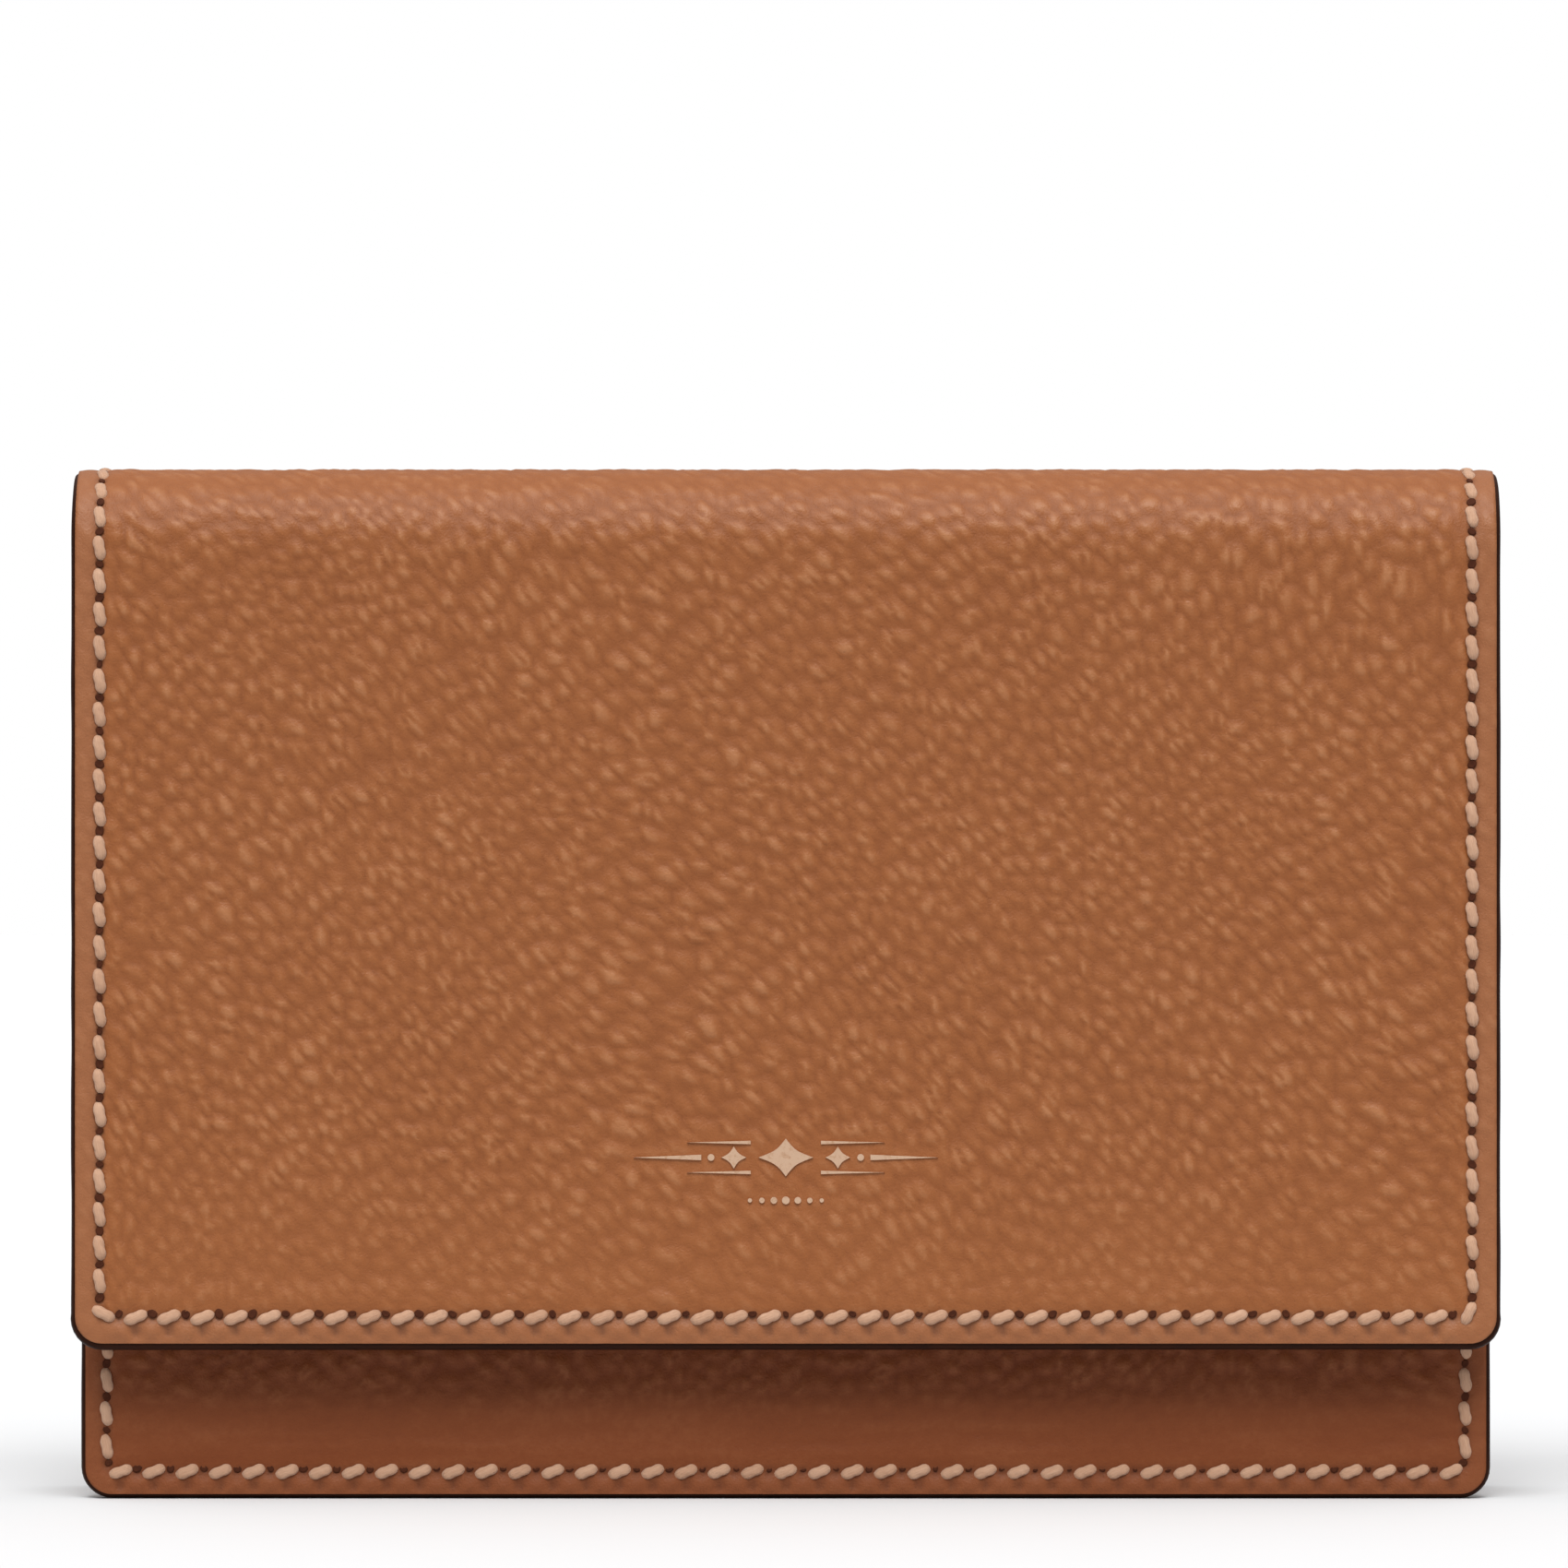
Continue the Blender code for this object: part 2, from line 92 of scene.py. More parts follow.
# Distances along the cover
BACK_TOP = HEIGHT - FOLD_RADIUS
FOLD_LENGTH = FOLD_RADIUS * math.pi / 2
SPINE_FLAT = 2 * (HALF_DEPTH - FOLD_RADIUS)
FLAP_FOLD = BACK_TOP + FOLD_LENGTH + SPINE_FLAT
FLAP_TOP = FLAP_FOLD + FOLD_LENGTH
SPINE_MIDDLE = BACK_TOP + FOLD_LENGTH + SPINE_FLAT / 2
FLAP_HEM = FLAP_TOP + HEIGHT - FOLD_RADIUS - FLAP_HEM_Z

# Mesh spacing: fine within MARGIN of an outline and coarse further in
MARGIN = 5.0 * MM
FINE = 0.24 * MM
COARSE = 0.38 * MM
SHEET_FINE = 0.35 * MM
LINING_FINE = 0.5 * MM
LINING_COARSE = 0.8 * MM
CORNER_REACH = 7.5 * MM  # how far from a side the mesh bends to follow a rounded corner

# Detail sizes
LEATHER = 1.05 * MM  # how far an outer leather goes under its face
FACE_INSET = 0.36 * MM  # the grain side stops here, and the painted edge begins
HEM_FACE_INSET = 0.08 * MM  # the same at the hems of the cover
END_ROW = 0.008 * MM  # a last narrow row keeps the shading even where two halves meet
LINING_INSET = 0.35 * MM
HIDDEN_LAYER = 0.5 * MM  # how far a lining's body goes under its face
# The flap's dark painted edge hangs below its leather partly as painted shade: the band stands in for the
# shadow under the flap's hem.
HEM_SHADOW_DROP = 0.45 * MM  # the flap's painted edge hangs this far below its leather
SHEET_TRIM = 0.1 * MM
DIVIDER_LIFT = 0.8 * MM
SEAM_INSET = 2.25 * MM
FRONT_SEAM_INSET = 2.0 * MM
HEM_SEAM = 2.1 * MM
SEAM_CORNER = 1.0 * MM
STITCH_PITCH = 2.57 * MM
SEAM_REACH = 2.6 * MM  # how far from the thread sewing shapes the leather
DENT_OFFSET = 1.10 * MM  # from the thread to the dents and puckers outside it
HEM_SLANT = 22.0  # degrees that a stitch leans along a hem
SIDE_SLANT = 11.0  # and up a side
THREAD_SINK = 0.12 * MM  # over the folds, where the thread pulls tight
GUSSET = 0.5 * MM  # the leather of a gusset
FOIL_RISE = 0.02 * MM
FOIL_DEPTH = 0.3 * MM
GRAIN_DEPTH = 0.15 * MM

# Light
SKY_LOW = 0.15
SKY_HIGH = 1.05
KEY_STRENGTH = 3.1
KEY_ELEVATION = 54  # degrees, as are the next two
KEY_LEFT = 2
KEY_SPREAD = 36
FRONT_LIGHT = 1.38  # light on a surface that faces the front, where 1 shows its own colour


# ---- noise, in millimetres ----


def smoothstep(low, high, value):
    t = np.clip((value - low) / (high - low), 0, 1)
    return t * t * (3 - 2 * t)


def hashed(ix, iy, seed):
    """A number from 0 to 1 for each pair of whole numbers."""
    n = (ix.astype(np.int64) * 374761393 + iy.astype(np.int64) * 668265263 + seed * 144269504) & 0xFFFFFFFF
    n = ((n ^ (n >> 13)) * 1274126177) & 0xFFFFFFFF
    return ((n ^ (n >> 16)) & 0xFFFF) / 65535.0


def value_noise(u, v, seed):
    """Smooth noise from -1 to 1, with features one unit across."""
    iu, iv = np.floor(u), np.floor(v)
    fu, fv = smoothstep(0, 1, u - iu), smoothstep(0, 1, v - iv)
    low = hashed(iu, iv, seed) * (1 - fu) + hashed(iu + 1, iv, seed) * fu
    high = hashed(iu, iv + 1, seed) * (1 - fu) + hashed(iu + 1, iv + 1, seed) * fu
    return 2 * (low * (1 - fv) + high * fv) - 1


def cells(u, v, seed):
    """Distances to the two nearest scattered points, and a number from 0 to 1 for the nearest."""
    iu, iv = np.floor(u), np.floor(v)
    first = np.full(u.shape, 9.0)
    second = np.full(u.shape, 9.0)
    tone = np.zeros(u.shape)
    for du in (-1, 0, 1):
        for dv in (-1, 0, 1):
            cu, cv = iu + du, iv + dv
            pu = cu + 0.15 + 0.7 * hashed(cu, cv, seed)
            pv = cv + 0.15 + 0.7 * hashed(cu, cv, seed + 1)
            distance = np.hypot(u - pu, v - pv)
            nearer = distance < first
            second = np.where(nearer, first, np.minimum(second, distance))
            tone = np.where(nearer, hashed(cu, cv, seed + 2), tone)
            first = np.where(nearer, distance, first)
    return first, second, tone


def pebbles(x, s, long=2.0, short=1.12, degrees=48):
    """Leather grain, from 0 in the creases to 1 on the pebbles. x and s are in millimetres."""
    turn = np.radians(degrees)
    x = x + 3.5 * value_noise(x / 19, s / 19, 3) + 0.40 * value_noise(x / 1.7, s / 1.7, 5)
    s = s + 3.5 * value_noise(x / 19, s / 19, 9) + 0.40 * value_noise(x / 1.7, s / 1.7, 7)
    along = (x * np.cos(turn) + s * np.sin(turn)) / long
    across = (s * np.cos(turn) - x * np.sin(turn)) / short
    first, second, tone = cells(along, across, 11)
    dome = 1 - smoothstep(0.0, 0.60, first)
    crease = smoothstep(0.0, 0.35, second - first)
    small, _, _ = cells(along * 2.3, across * 2.1, 15)
    return (0.62 * dome + 0.38 * crease) * (0.6 + 0.4 * tone) + 0.16 * (0.5 - small)


def bump(distance, height, reach):
    """A smooth bump, this high where the distance is 0."""
    return height * np.exp(-((distance / reach) ** 2))


def circle(steps):
    return np.linspace(0, 2 * math.pi, steps, endpoint=False)


def square_to(directions):
    return np.stack([-directions[:, 1], directions[:, 0]], -1)


def distances(points):
    """How far along a line each of its points is."""
    return np.r_[0, np.cumsum(np.hypot(*np.diff(points, axis=0).T))]


def points_at(wanted, run, points):
    """Points at the wanted distances along a line."""
    return np.stack([np.interp(wanted, run, points[:, k]) for k in (0, 1)], -1)


# ---- surfaces ----


def cover_place(x, s, h):
    """Points on the cover, h above its outer face."""
    x, s, h = np.broadcast_arrays(x, s, h)
    first = np.clip((s - BACK_TOP) / FOLD_RADIUS, 0, math.pi / 2)
    second = np.clip((s - FLAP_FOLD) / FOLD_RADIUS, 0, math.pi / 2)
    flat = np.clip(s - BACK_TOP - FOLD_LENGTH, 0, SPINE_FLAT)
    down = np.maximum(s - FLAP_TOP, 0)
    turn = first + second
    y = HALF_DEPTH - FOLD_RADIUS - flat + (FOLD_RADIUS + h) * np.cos(turn)
    z = HEIGHT - FOLD_RADIUS + (FOLD_RADIUS + h) * np.sin(turn) + np.minimum(s - BACK_TOP, 0) - down
    return np.stack([x, y, z], -1)


def thread_place(x, s, h):
    """As cover_place, but a little deeper over the folds."""
    fold = smoothstep(BACK_TOP, BACK_TOP + 3 * MM, s) * (1 - smoothstep(FLAP_TOP - 3 * MM, FLAP_TOP, s))
    return cover_place(x, s, h - THREAD_SINK * fold)


def flat_place(face_y):
    """Points on an upright layer, h in front of its face. s is the height."""

    def place(x, s, h):
        x, s, h = np.broadcast_arrays(x, s, h)
        return np.stack([x, face_y - h, s], -1)

    return place


def cover_thickness(s):
    """From the face of the cover to the face of its lining."""
    return SPINE_THICKNESS + (FLAP_THICKNESS - SPINE_THICKNESS) * smoothstep(FLAP_FOLD, FLAP_TOP, s)


def even_thickness(thickness):
    return lambda s: thickness + 0 * s


GRAIN_BACK = even_thickness(-LEATHER)


def rounded_distance(x, s, half, low, high, radius):
    """How far inside a rectangle with rounded corners each point is."""
    middle, reach = (low + high) / 2, (high - low) / 2
    qx = np.abs(x) - half + radius
    qs = np.abs(s - middle) - reach + radius
    outside = np.hypot(np.maximum(qx, 0), np.maximum(qs, 0)) + np.minimum(np.maximum(qx, qs), 0)
    return radius - outside


class Outline:
    """A panel's outline: a rectangle in x and s, with rounded corners at each end that is a hem."""

    def __init__(self, half, low, high, low_hem, high_hem, radius=CORNER):
        self.half, self.low, self.high, self.radius = half, low, high, radius
        self.low_hem, self.high_hem = low_hem, high_hem

    def ends(self):
        far = 1.0
        return (self.low if self.low_hem else self.low - far, self.high if self.high_hem else self.high + far)

    def inside(self, x, s):
        return rounded_distance(x, s, self.half, *self.ends(), self.radius)

    def shrunk(self, inset, hem_inset=None):
        hem_inset = inset if hem_inset is None else hem_inset
        low = self.low + hem_inset * self.low_hem
        high = self.high - hem_inset * self.high_hem
        return Outline(self.half - inset, low, high, self.low_hem, self.high_hem, self.radius - inset)

    def half_at(self, s):
        """Half the width at each s, less in the rounded corners."""
        low, high = self.ends()
        short = np.maximum(self.radius - np.minimum(s - low, high - s), 0)
        return self.half - self.radius + np.sqrt(np.maximum(self.radius**2 - short**2, 0))


def hem_steps(radius, fine, coarse, length):
    """Distances from a hem, closest together in its rounded corners."""
    turns = np.linspace(0, math.pi / 2, 11)
    steps = np.r_[radius * (1 - np.cos(turns)), np.arange(radius + fine, MARGIN, fine)]
    count = max(int(round((length - steps[-1]) / coarse)), 1)
    return np.r_[steps, np.linspace(steps[-1], length, count + 1)[1:]]


def grid_of(outline, fine, coarse):
    """x and s of a grid that fills an outline and follows its rounded corners."""
    length = outline.high - outline.low
    both = outline.low_hem and outline.high_hem
    steps = hem_steps(outline.radius, fine, coarse, length / 2 if both else length)
    up, down = outline.low + steps, (outline.high - steps)[::-1]
    if both:
        s = np.r_[up, down[1:]]
    elif outline.low_hem:
        s = np.insert(up, -1, up[-1] - END_ROW)
    else:
        s = np.insert(down, 1, down[0] + END_ROW)
    edge = np.arange(0, MARGIN, fine)
    count = int(2 * (outline.half - edge[-1]) / coarse)
    field = np.linspace(-outline.half + edge[-1], outline.half - edge[-1], count + 1)
    columns = np.r_[-outline.half + edge[:-1], field, (outline.half - edge[:-1])[::-1]]
    x, s = np.meshgrid(columns, s)
    pull = outline.half - outline.half_at(s)
    share = np.clip((np.abs(x) - outline.half + CORNER_REACH) / CORNER_REACH, 0, 1)
    return x - np.sign(x) * pull * share, s


def link(name, data):
    obj = bpy.data.objects.new(name, data)
    bpy.context.scene.collection.objects.link(obj)
    return obj


def link_mesh(name, points, faces, smooth=None):
    """A new object. The first faces are shaded smooth, this many of them, or all."""
    mesh = bpy.data.meshes.new(name)
    mesh.from_pydata(np.asarray(points).reshape(-1, 3).tolist(), [], faces)
    mesh.update()
    smooth = len(faces) if smooth is None else smooth
    mesh.polygons.foreach_set("use_smooth", np.arange(len(faces)) < smooth)
    return link(name, mesh)


def closed_mesh(name, points, faces, smooth=None, sharp=None):
    """As link_mesh, for a closed shape whose faces turn out. If sharp is given, doubled points are merged and
    edges that bend by more than sharp degrees show as edges."""
    obj = link_mesh(name, points, faces, smooth)
    bm = bmesh.new()
    bm.from_mesh(obj.data)
    if sharp:
        bmesh.ops.remove_doubles(bm, verts=bm.verts, dist=1e-8)
    bmesh.ops.recalc_face_normals(bm, faces=bm.faces)
    if sharp:
        for edge in bm.edges:
            edge.smooth = edge.calc_face_angle(0) < math.radians(sharp)
    bm.to_mesh(obj.data)
    bm.free()
    return obj


def store(obj, name, values):
    """Keeps a number, or a row of three, for each vertex, for the material to read."""
    values = np.asarray(values, np.float32)
    kind, field = ("FLOAT", "value") if values.ndim == 1 else ("FLOAT_VECTOR", "vector")
    attribute = obj.data.attributes.new(name, kind, "POINT")
    attribute.data.foreach_set(field, values.ravel())


def numbered(points):
    """The number of each point, in the shape of their grid."""
    shape = points.shape[:-1]
    return np.arange(np.prod(shape)).reshape(shape)


def quads(*corners):
    """Faces, from four arrays that each number one corner of every face."""
    return np.stack(corners, -1).reshape(-1, 4).tolist()


def tube_faces(index, capped=True):
    """Faces between rings of points. The last axis runs round a ring, the one before it along the tube."""
    beside = np.roll(index, -1, -1)
    faces = quads(index[..., :-1, :], beside[..., :-1, :], beside[..., 1:, :], index[..., 1:, :])
    if capped:
        for cap in (index[..., 0, ::-1], index[..., -1, :]):
            faces += cap.reshape(-1, index.shape[-1]).tolist()
    return faces


def ruled_underside(under, rows, columns):
    """Faces from the left side of a panel to its right. under lists the points round its lower rim."""
    right = under[columns - 1 :][:rows]
    left = [under[0], *under[::-1][: rows - 1]]
    last = under[columns + rows - 2 :][:columns]
    faces = [[left[1], *under[:columns], right[1]]]
    for row in range(1, rows - 2):
        faces.append([left[row], right[row], right[row + 1], left[row + 1]])
    faces.append([left[-2], right[-2], *last])
    return [face[::-1] for face in faces]


def panel(name, outline, place, height, depth, fine=FINE, coarse=COARSE, **stored):
    """A closed sheet. Its face is a fine grid at this height, its sides drop to depth, and its underside is
    ruled from side to side. stored holds functions of x and s, in millimetres, for the material to read."""
    x, s = grid_of(outline, fine, coarse)
    rows, columns = x.shape
    top = place(x, s, height(x, s)).reshape(-1, 3)
    x, s = x.ravel(), s.ravel()
    index = np.arange(rows * columns).reshape(rows, columns)
    faces = quads(index[:-1, :-1], index[:-1, 1:], index[1:, 1:], index[1:, :-1])
    rim = np.concatenate([index[0, :], index[1:, -1], index[-1, -2::-1], index[-2:0:-1, 0]])
    low = place(x[rim], s[rim], depth(s[rim]))
    under = list(range(index.size, index.size + len(rim)))
    faces += quads(np.roll(rim, -1), rim, under, np.roll(under, -1))
    faces += ruled_underside(under, rows, columns)
    obj = closed_mesh(name, np.concatenate([top, low]), faces, smooth=(rows - 1) * (columns - 1))
    x, s = np.r_[x, x[rim]] / MM, np.r_[s, s[rim]] / MM
    store(obj, "leather_mm", np.stack([x, s, 0 * x], -1))
    for attribute, worked_out in stored.items():
        store(obj, attribute, worked_out(x, s))
    return obj


# ---- stitches ----


class Seam:
    """A row of stitches down one side of a panel, along its hem and up the other side."""

    def __init__(self, outline, side_inset, hem_inset, far, lean):
        into = 1 if outline.low_hem else -1
        hem = (outline.low if outline.low_hem else outline.high) + into * hem_inset
        half = outline.half - side_inset
        turns = np.radians(np.linspace(0, 90, 7))
        x = np.r_[half, half - SEAM_CORNER * (1 - np.cos(turns))]
        s = np.r_[far, hem + into * SEAM_CORNER * (1 - np.sin(turns))]
        right = np.stack([x, s], -1)
        left = right * (-1, 1)
        self.half, self.hem, self.into, self.lean = half, hem, into, lean
        self.points = np.concatenate([left, right[::-1]])
        self.run = distances(self.points)
        self.count = int(round(self.run[-1] / STITCH_PITCH))

    def at(self, distance):
        """(point, direction) of the seam at each distance along it."""
        shifts = (-0.3 * MM, 0, 0.3 * MM)
        before, point, after = [points_at(distance + shift, self.run, self.points) for shift in shifts]
        along = after - before
        return point, along / np.hypot(*along.T)[:, None]

    def stitches(self):
        return self.at((np.arange(self.count) + 0.5) * self.run[-1] / self.count)

    def holes(self):
        return self.at(np.arange(1, self.count) * self.run[-1] / self.count)

    def outward(self, along):
        """The direction away from the panel's middle, square to each direction along the seam."""
        return -square_to(along) * self.into

    def relief(self, x, s):
        """The height that sewing gives the leather: a channel, needle holes, hem dents and puckers."""
        inside = rounded_distance(x, s, self.half, *self.span(), SEAM_CORNER)
        height = bump(inside, -0.10 * MM, 0.62 * MM)
        height += bump(inside - 1.6 * MM, 0.05 * MM, 0.8 * MM)
        near = np.abs(inside) < SEAM_REACH
        points = np.stack([x[near], s[near]], -1)
        holes, hole_along = self.holes()
        middles, along = self.stitches()
        dents = (middles + self.outward(along) * DENT_OFFSET)[np.abs(along[:, 0]) > 0.7]
        puckers = (holes + self.outward(hole_along) * DENT_OFFSET)[np.abs(hole_along[:, 0]) > 0.7]
        height[near] += nearby(points, holes, -0.17 * MM, 0.34 * MM)
        height[near] += nearby(points, dents, -0.19 * MM, 0.48 * MM)
        height[near] += nearby(points, puckers, 0.13 * MM, 0.50 * MM)
        height[near] += nearby(points, middles, -0.05 * MM, 0.8 * MM)
        return height

    def span(self):
        """The two ends of the seam's outline, one of them far beyond the panel."""
        return (self.hem, 1.0) if self.into > 0 else (-1.0, self.hem)


def nearby(points, centres, height, reach):
    """The height of a bump at each centre, where bumps don't add up."""
    nearest = np.full(len(points), 9.0)
    for centre in centres:
        nearest = np.minimum(nearest, np.hypot(*(points - centre).T))
    return bump(nearest, height, reach)


def stitch_row(name, seam, place, side=1, thickness=None, keep=None):
    """The visible thread of a seam: each stitch is a short twisted cord, bent down into the leather at its
    ends. side is 1 on the outer face, and -1 on the lining, which is this thick below it."""
    rings, around = 15, 12
    half_length, half_width, half_height = 1.03 * MM, 0.43 * MM, 0.25 * MM
    middles, along = seam.stitches()
    if keep is not None:
        chosen = keep(middles[:, 1])
        middles, along = middles[chosen], along[chosen]
    on_hem = np.abs(along[:, 0])
    slant = seam.lean * np.radians(SIDE_SLANT + (HEM_SLANT - SIDE_SLANT) * on_hem)
    turned = along * np.cos(slant)[:, None] + square_to(along) * np.sin(slant)[:, None]
    across = square_to(turned)
    t = np.linspace(-1, 1, rings)[None, :, None]
    angle = circle(around)[None, None, :]
    number = np.arange(len(middles))[:, None, None]
    girth = np.sqrt(np.clip(1 - np.abs(t) ** 3.2, 0.02, 1))
    girth = girth * (1 + 0.05 * (hashed(number, 0 * number, 21) - 0.5))
    girth = girth * (1 + 0.06 * np.cos(2 * (angle - 3.6 * t - 1.3)))
    wander = 0.05 * MM * (hashed(number, 0 * number + 1, 22) - 0.5)
    run = half_length * t + 0 * angle
    sideways = wander + half_width * girth * np.cos(angle)
    lift = -0.04 * MM - 0.30 * MM * t**4 + half_height * girth * np.sin(angle)
    x, s = [
        middles[:, k, None, None] + turned[:, k, None, None] * run + across[:, k, None, None] * sideways
        for k in (0, 1)
    ]
    height = lift if side > 0 else -thickness(s) - lift
    points = place(x, s, height)
    obj = closed_mesh(name, points, tube_faces(numbered(points)))
    store(obj, "thread_mm", np.stack([run / MM + 0 * x, 2.4 * angle + 0 * x, number + 0 * x], -1))
    return obj


def needle_holes(name, seam, place):
    """Needle holes between the stitches, as small dished discs, dark with painted shade for the depth of each
    hole.
    """
    radii = np.array([0.31, 0.31, 0.22, 0.10]) * MM
    heights = np.array([-0.4, -0.145, -0.115, -0.15]) * MM
    holes, along = seam.holes()
    centres = holes - seam.outward(along) * 0.28 * MM * np.abs(along[:, :1])
    number = np.arange(len(holes))[:, None, None]
    angle = circle(14)[None, None, :]
    size = 0.8 + 0.4 * hashed(number, 0 * number, 25)
    wobble = 0.14 * np.cos(2 * angle + 6 * hashed(number, 0 * number, 26))
    radius = radii[None, :, None] * (size + wobble)
    x = centres[:, 0, None, None] + radius * np.cos(angle)
    s = centres[:, 1, None, None] + radius * np.sin(angle)
    points = place(x, s, heights[None, :, None])
    return closed_mesh(name, points, tube_faces(numbered(points)))


# ---- painted edges ----


def edge_path(outline):
    """(x, s, in_x, in_s, closed): points down the left side, along the hem and up the right side, the way in
    at each, and whether they close on themselves along a second hem."""
    near, far = (outline.low, outline.high) if outline.low_hem else (outline.high, outline.low)
    into = 1 if outline.low_hem else -1
    closed = outline.low_hem and outline.high_hem
    left, radius = -outline.half, outline.radius
    turns = np.radians(np.linspace(0, 90, 9))
    sin, cos = np.sin(turns), np.cos(turns)
    start = far - into * radius if closed else far
    end = near + into * radius
    s = np.linspace(start, end, int(abs(end - start) / (0.6 * MM)) + 2)[:-1]
    if not closed:
        s = np.insert(s, 1, start - into * END_ROW)
    side = [0 * s + left, s, 0 * s + 1, 0 * s]
    corner = [left + radius * (1 - cos), near + into * radius * (1 - sin), cos, into * sin]
    half_way = np.concatenate([side, corner], 1)
    if closed:
        far_corner = [left + radius * (1 - sin), far - into * radius * (1 - cos), sin, -into * cos]
        half_way = np.concatenate([np.array(far_corner)[:, :-1], half_way], 1)
    mirrored = half_way[:, ::-1] * [[-1], [1], [-1], [1]]
    return (*np.concatenate([half_way, mirrored], 1), closed)


def bead(name, outline, place, thickness, top=0.36 * MM, bulge=0.42 * MM, width=0.72 * MM, drop=0.0):
    """The painted edge round a panel: a band with rounded corners, as deep as its layers are thick. At a hem
    it hangs out by drop."""
    x, s, in_x, in_s, closed = edge_path(outline)
    turns = np.radians(np.linspace(90, -90, 13))
    power = 0.75
    round_in = bulge * (1 - np.abs(np.cos(turns)) ** power)
    up = np.sign(np.sin(turns)) * np.abs(np.sin(turns)) ** power
    inset = np.r_[width, round_in, width][None, :]
    share = np.r_[1, up, -1][None, :]
    full = thickness(s)[:, None]
    reach = (full - 2 * top) / 2
    height = -full / 2 + reach * share
    wobble = 0.03 * MM * value_noise(s / (4 * MM), x / (4 * MM), 31)[:, None]
    inset = inset + (wobble - drop * np.abs(in_s)[:, None]) * (inset < bulge)
    points = place(x[:, None] + in_x[:, None] * inset, s[:, None] + in_s[:, None] * inset, height)
    index = numbered(points)
    index = np.concatenate([index, index[:1]]) if closed else index
    obj = closed_mesh(name, points, tube_faces(index, capped=not closed))
    run = distances(np.stack([x, s], -1)) / MM
    coordinates = [run[:, None] + 0 * height, height / MM, inset / MM + 0 * height]
    store(obj, "leather_mm", np.stack(coordinates, -1))
    return obj


# ---- the gilt ornament, in millimetres from its middle ----


def tapered_line(near, far, thick, z=0.0):
    """A line that thins to a point."""
    return [(near, z - thick / 2), (far, z), (near, z + thick / 2)]


def round_dot(x, z, radius):
    return [(x + radius * math.cos(turn), z + radius * math.sin(turn)) for turn in circle(20)]


def lozenge(x, z, half_width, half_height):
    """A lozenge whose sides curve in."""
    corners = [(half_width, 0), (0, half_height), (-half_width, 0), (0, -half_height)]
    points = []
    for (ax, az), (bx, bz) in zip(corners, corners[1:] + corners[:1]):
        for step in np.linspace(0, 1, 6)[:-1]:
            pull = 1 - 0.9 * step * (1 - step)
            points.append((x + pull * (ax + step * (bx - ax)), z + pull * (az + step * (bz - az))))
    return points


def ornament():
    """A lozenge between tapered lines and dots, over a short row of dots."""
    shapes = [lozenge(0, 0, 2.1, 1.45)]
    for side in (-1, 1):
        shapes.append(lozenge(side * 4.0, 0, 0.95, 0.85))
        shapes.append(round_dot(side * 5.75, 0, 0.26))
        shapes.append(tapered_line(side * 6.5, side * 11.7, 0.42))
        shapes.append(tapered_line(side * 2.7, side * 7.6, 0.26, 1.15))
        shapes.append(tapered_line(side * 2.7, side * 7.6, 0.26, -1.15))
    for column in range(-3, 4):
        shapes.append(round_dot(column * 0.92, -3.3, 0.30 - 0.045 * abs(column)))
    return shapes


STAMP_Z = 26.6 * MM
ORNAMENT = ornament()


def ornament_distance(x, z):
    """Millimetres from the nearest of the ornament's shapes."""
    nearest = np.full(x.shape, 9.0)
    for shape in ORNAMENT:
        for (ax, az), (bx, bz) in zip(shape, shape[1:] + shape[:1]):
            run_x, run_z = bx - ax, bz - az
            share = ((x - ax) * run_x + (z - az) * run_z) / (run_x**2 + run_z**2)
            share = np.clip(share, 0, 1)
            nearest = np.minimum(nearest, np.hypot(x - ax - share * run_x, z - az - share * run_z))
    return nearest


# ---- the relief of each leather ----


def flap_z(s):
    return HEIGHT - FOLD_RADIUS - (s - FLAP_TOP)


def stamped(x, s):
    """1 where the leather is pressed flat round the ornament, 0 away from it."""
    z = flap_z(s)
    near = (np.abs(x) < 14 * MM) & (np.abs(z - STAMP_Z) < 6 * MM) & (s > FLAP_TOP)
    pressed = np.zeros(x.shape)
    pressed[near] = 1 - smoothstep(0.3, 0.9, ornament_distance(x[near] / MM, (z[near] - STAMP_Z) / MM))
    return pressed


def cover_fade(x, s):
    """How strongly the grain shows: less over the folds, in the margins, low on the flap and by the stamp."""
    edge = COVER.inside(x, s)
    fade = 0.45 + 0.55 * smoothstep(2.0 * MM, 4.5 * MM, edge)
    fold = smoothstep(BACK_TOP, BACK_TOP + 5 * MM, s)
    fold = fold * (1 - smoothstep(FLAP_TOP - 7 * MM, FLAP_TOP - 2 * MM, s))
    low = smoothstep(30 * MM, 14 * MM, flap_z(s)) * (s > FLAP_TOP)
    return fade * (1 - 0.6 * fold) * (1 - 0.45 * low) * (1 - 0.75 * stamped(x, s))


def cover_grain(x_mm, s_mm):
    """From -1 in the creases to 1 on the pebbles, already faded."""
    x, s = x_mm * MM, s_mm * MM
    return (2 * pebbles(x_mm, s_mm) - 1.1) * cover_fade(x, s)


def edge_roll(inside, depth=0.16 * MM, reach=1.3 * MM):
    return -depth * (1 - np.clip(inside / reach, 0, 1)) ** 2


def undulation(x, s, size, amount, seed):
    return amount * value_noise(x / size, s / size, seed)


def cover_height(seam):
    def height(x, s):
        relief = GRAIN_DEPTH * (cover_grain(x / MM, s / MM) - 0.4) + seam.relief(x, s)
        relief += edge_roll(COVER.inside(x, s)) - 0.05 * MM * stamped(x, s)
        folded = (s > BACK_TOP) & (s < FLAP_TOP)
        waves = undulation(x, s, 17 * MM, 0.05 * MM, 41) + undulation(x, s, 5 * MM, 0.012 * MM, 43)
        return relief + waves * np.where(folded, 0.4, 1)

    return height


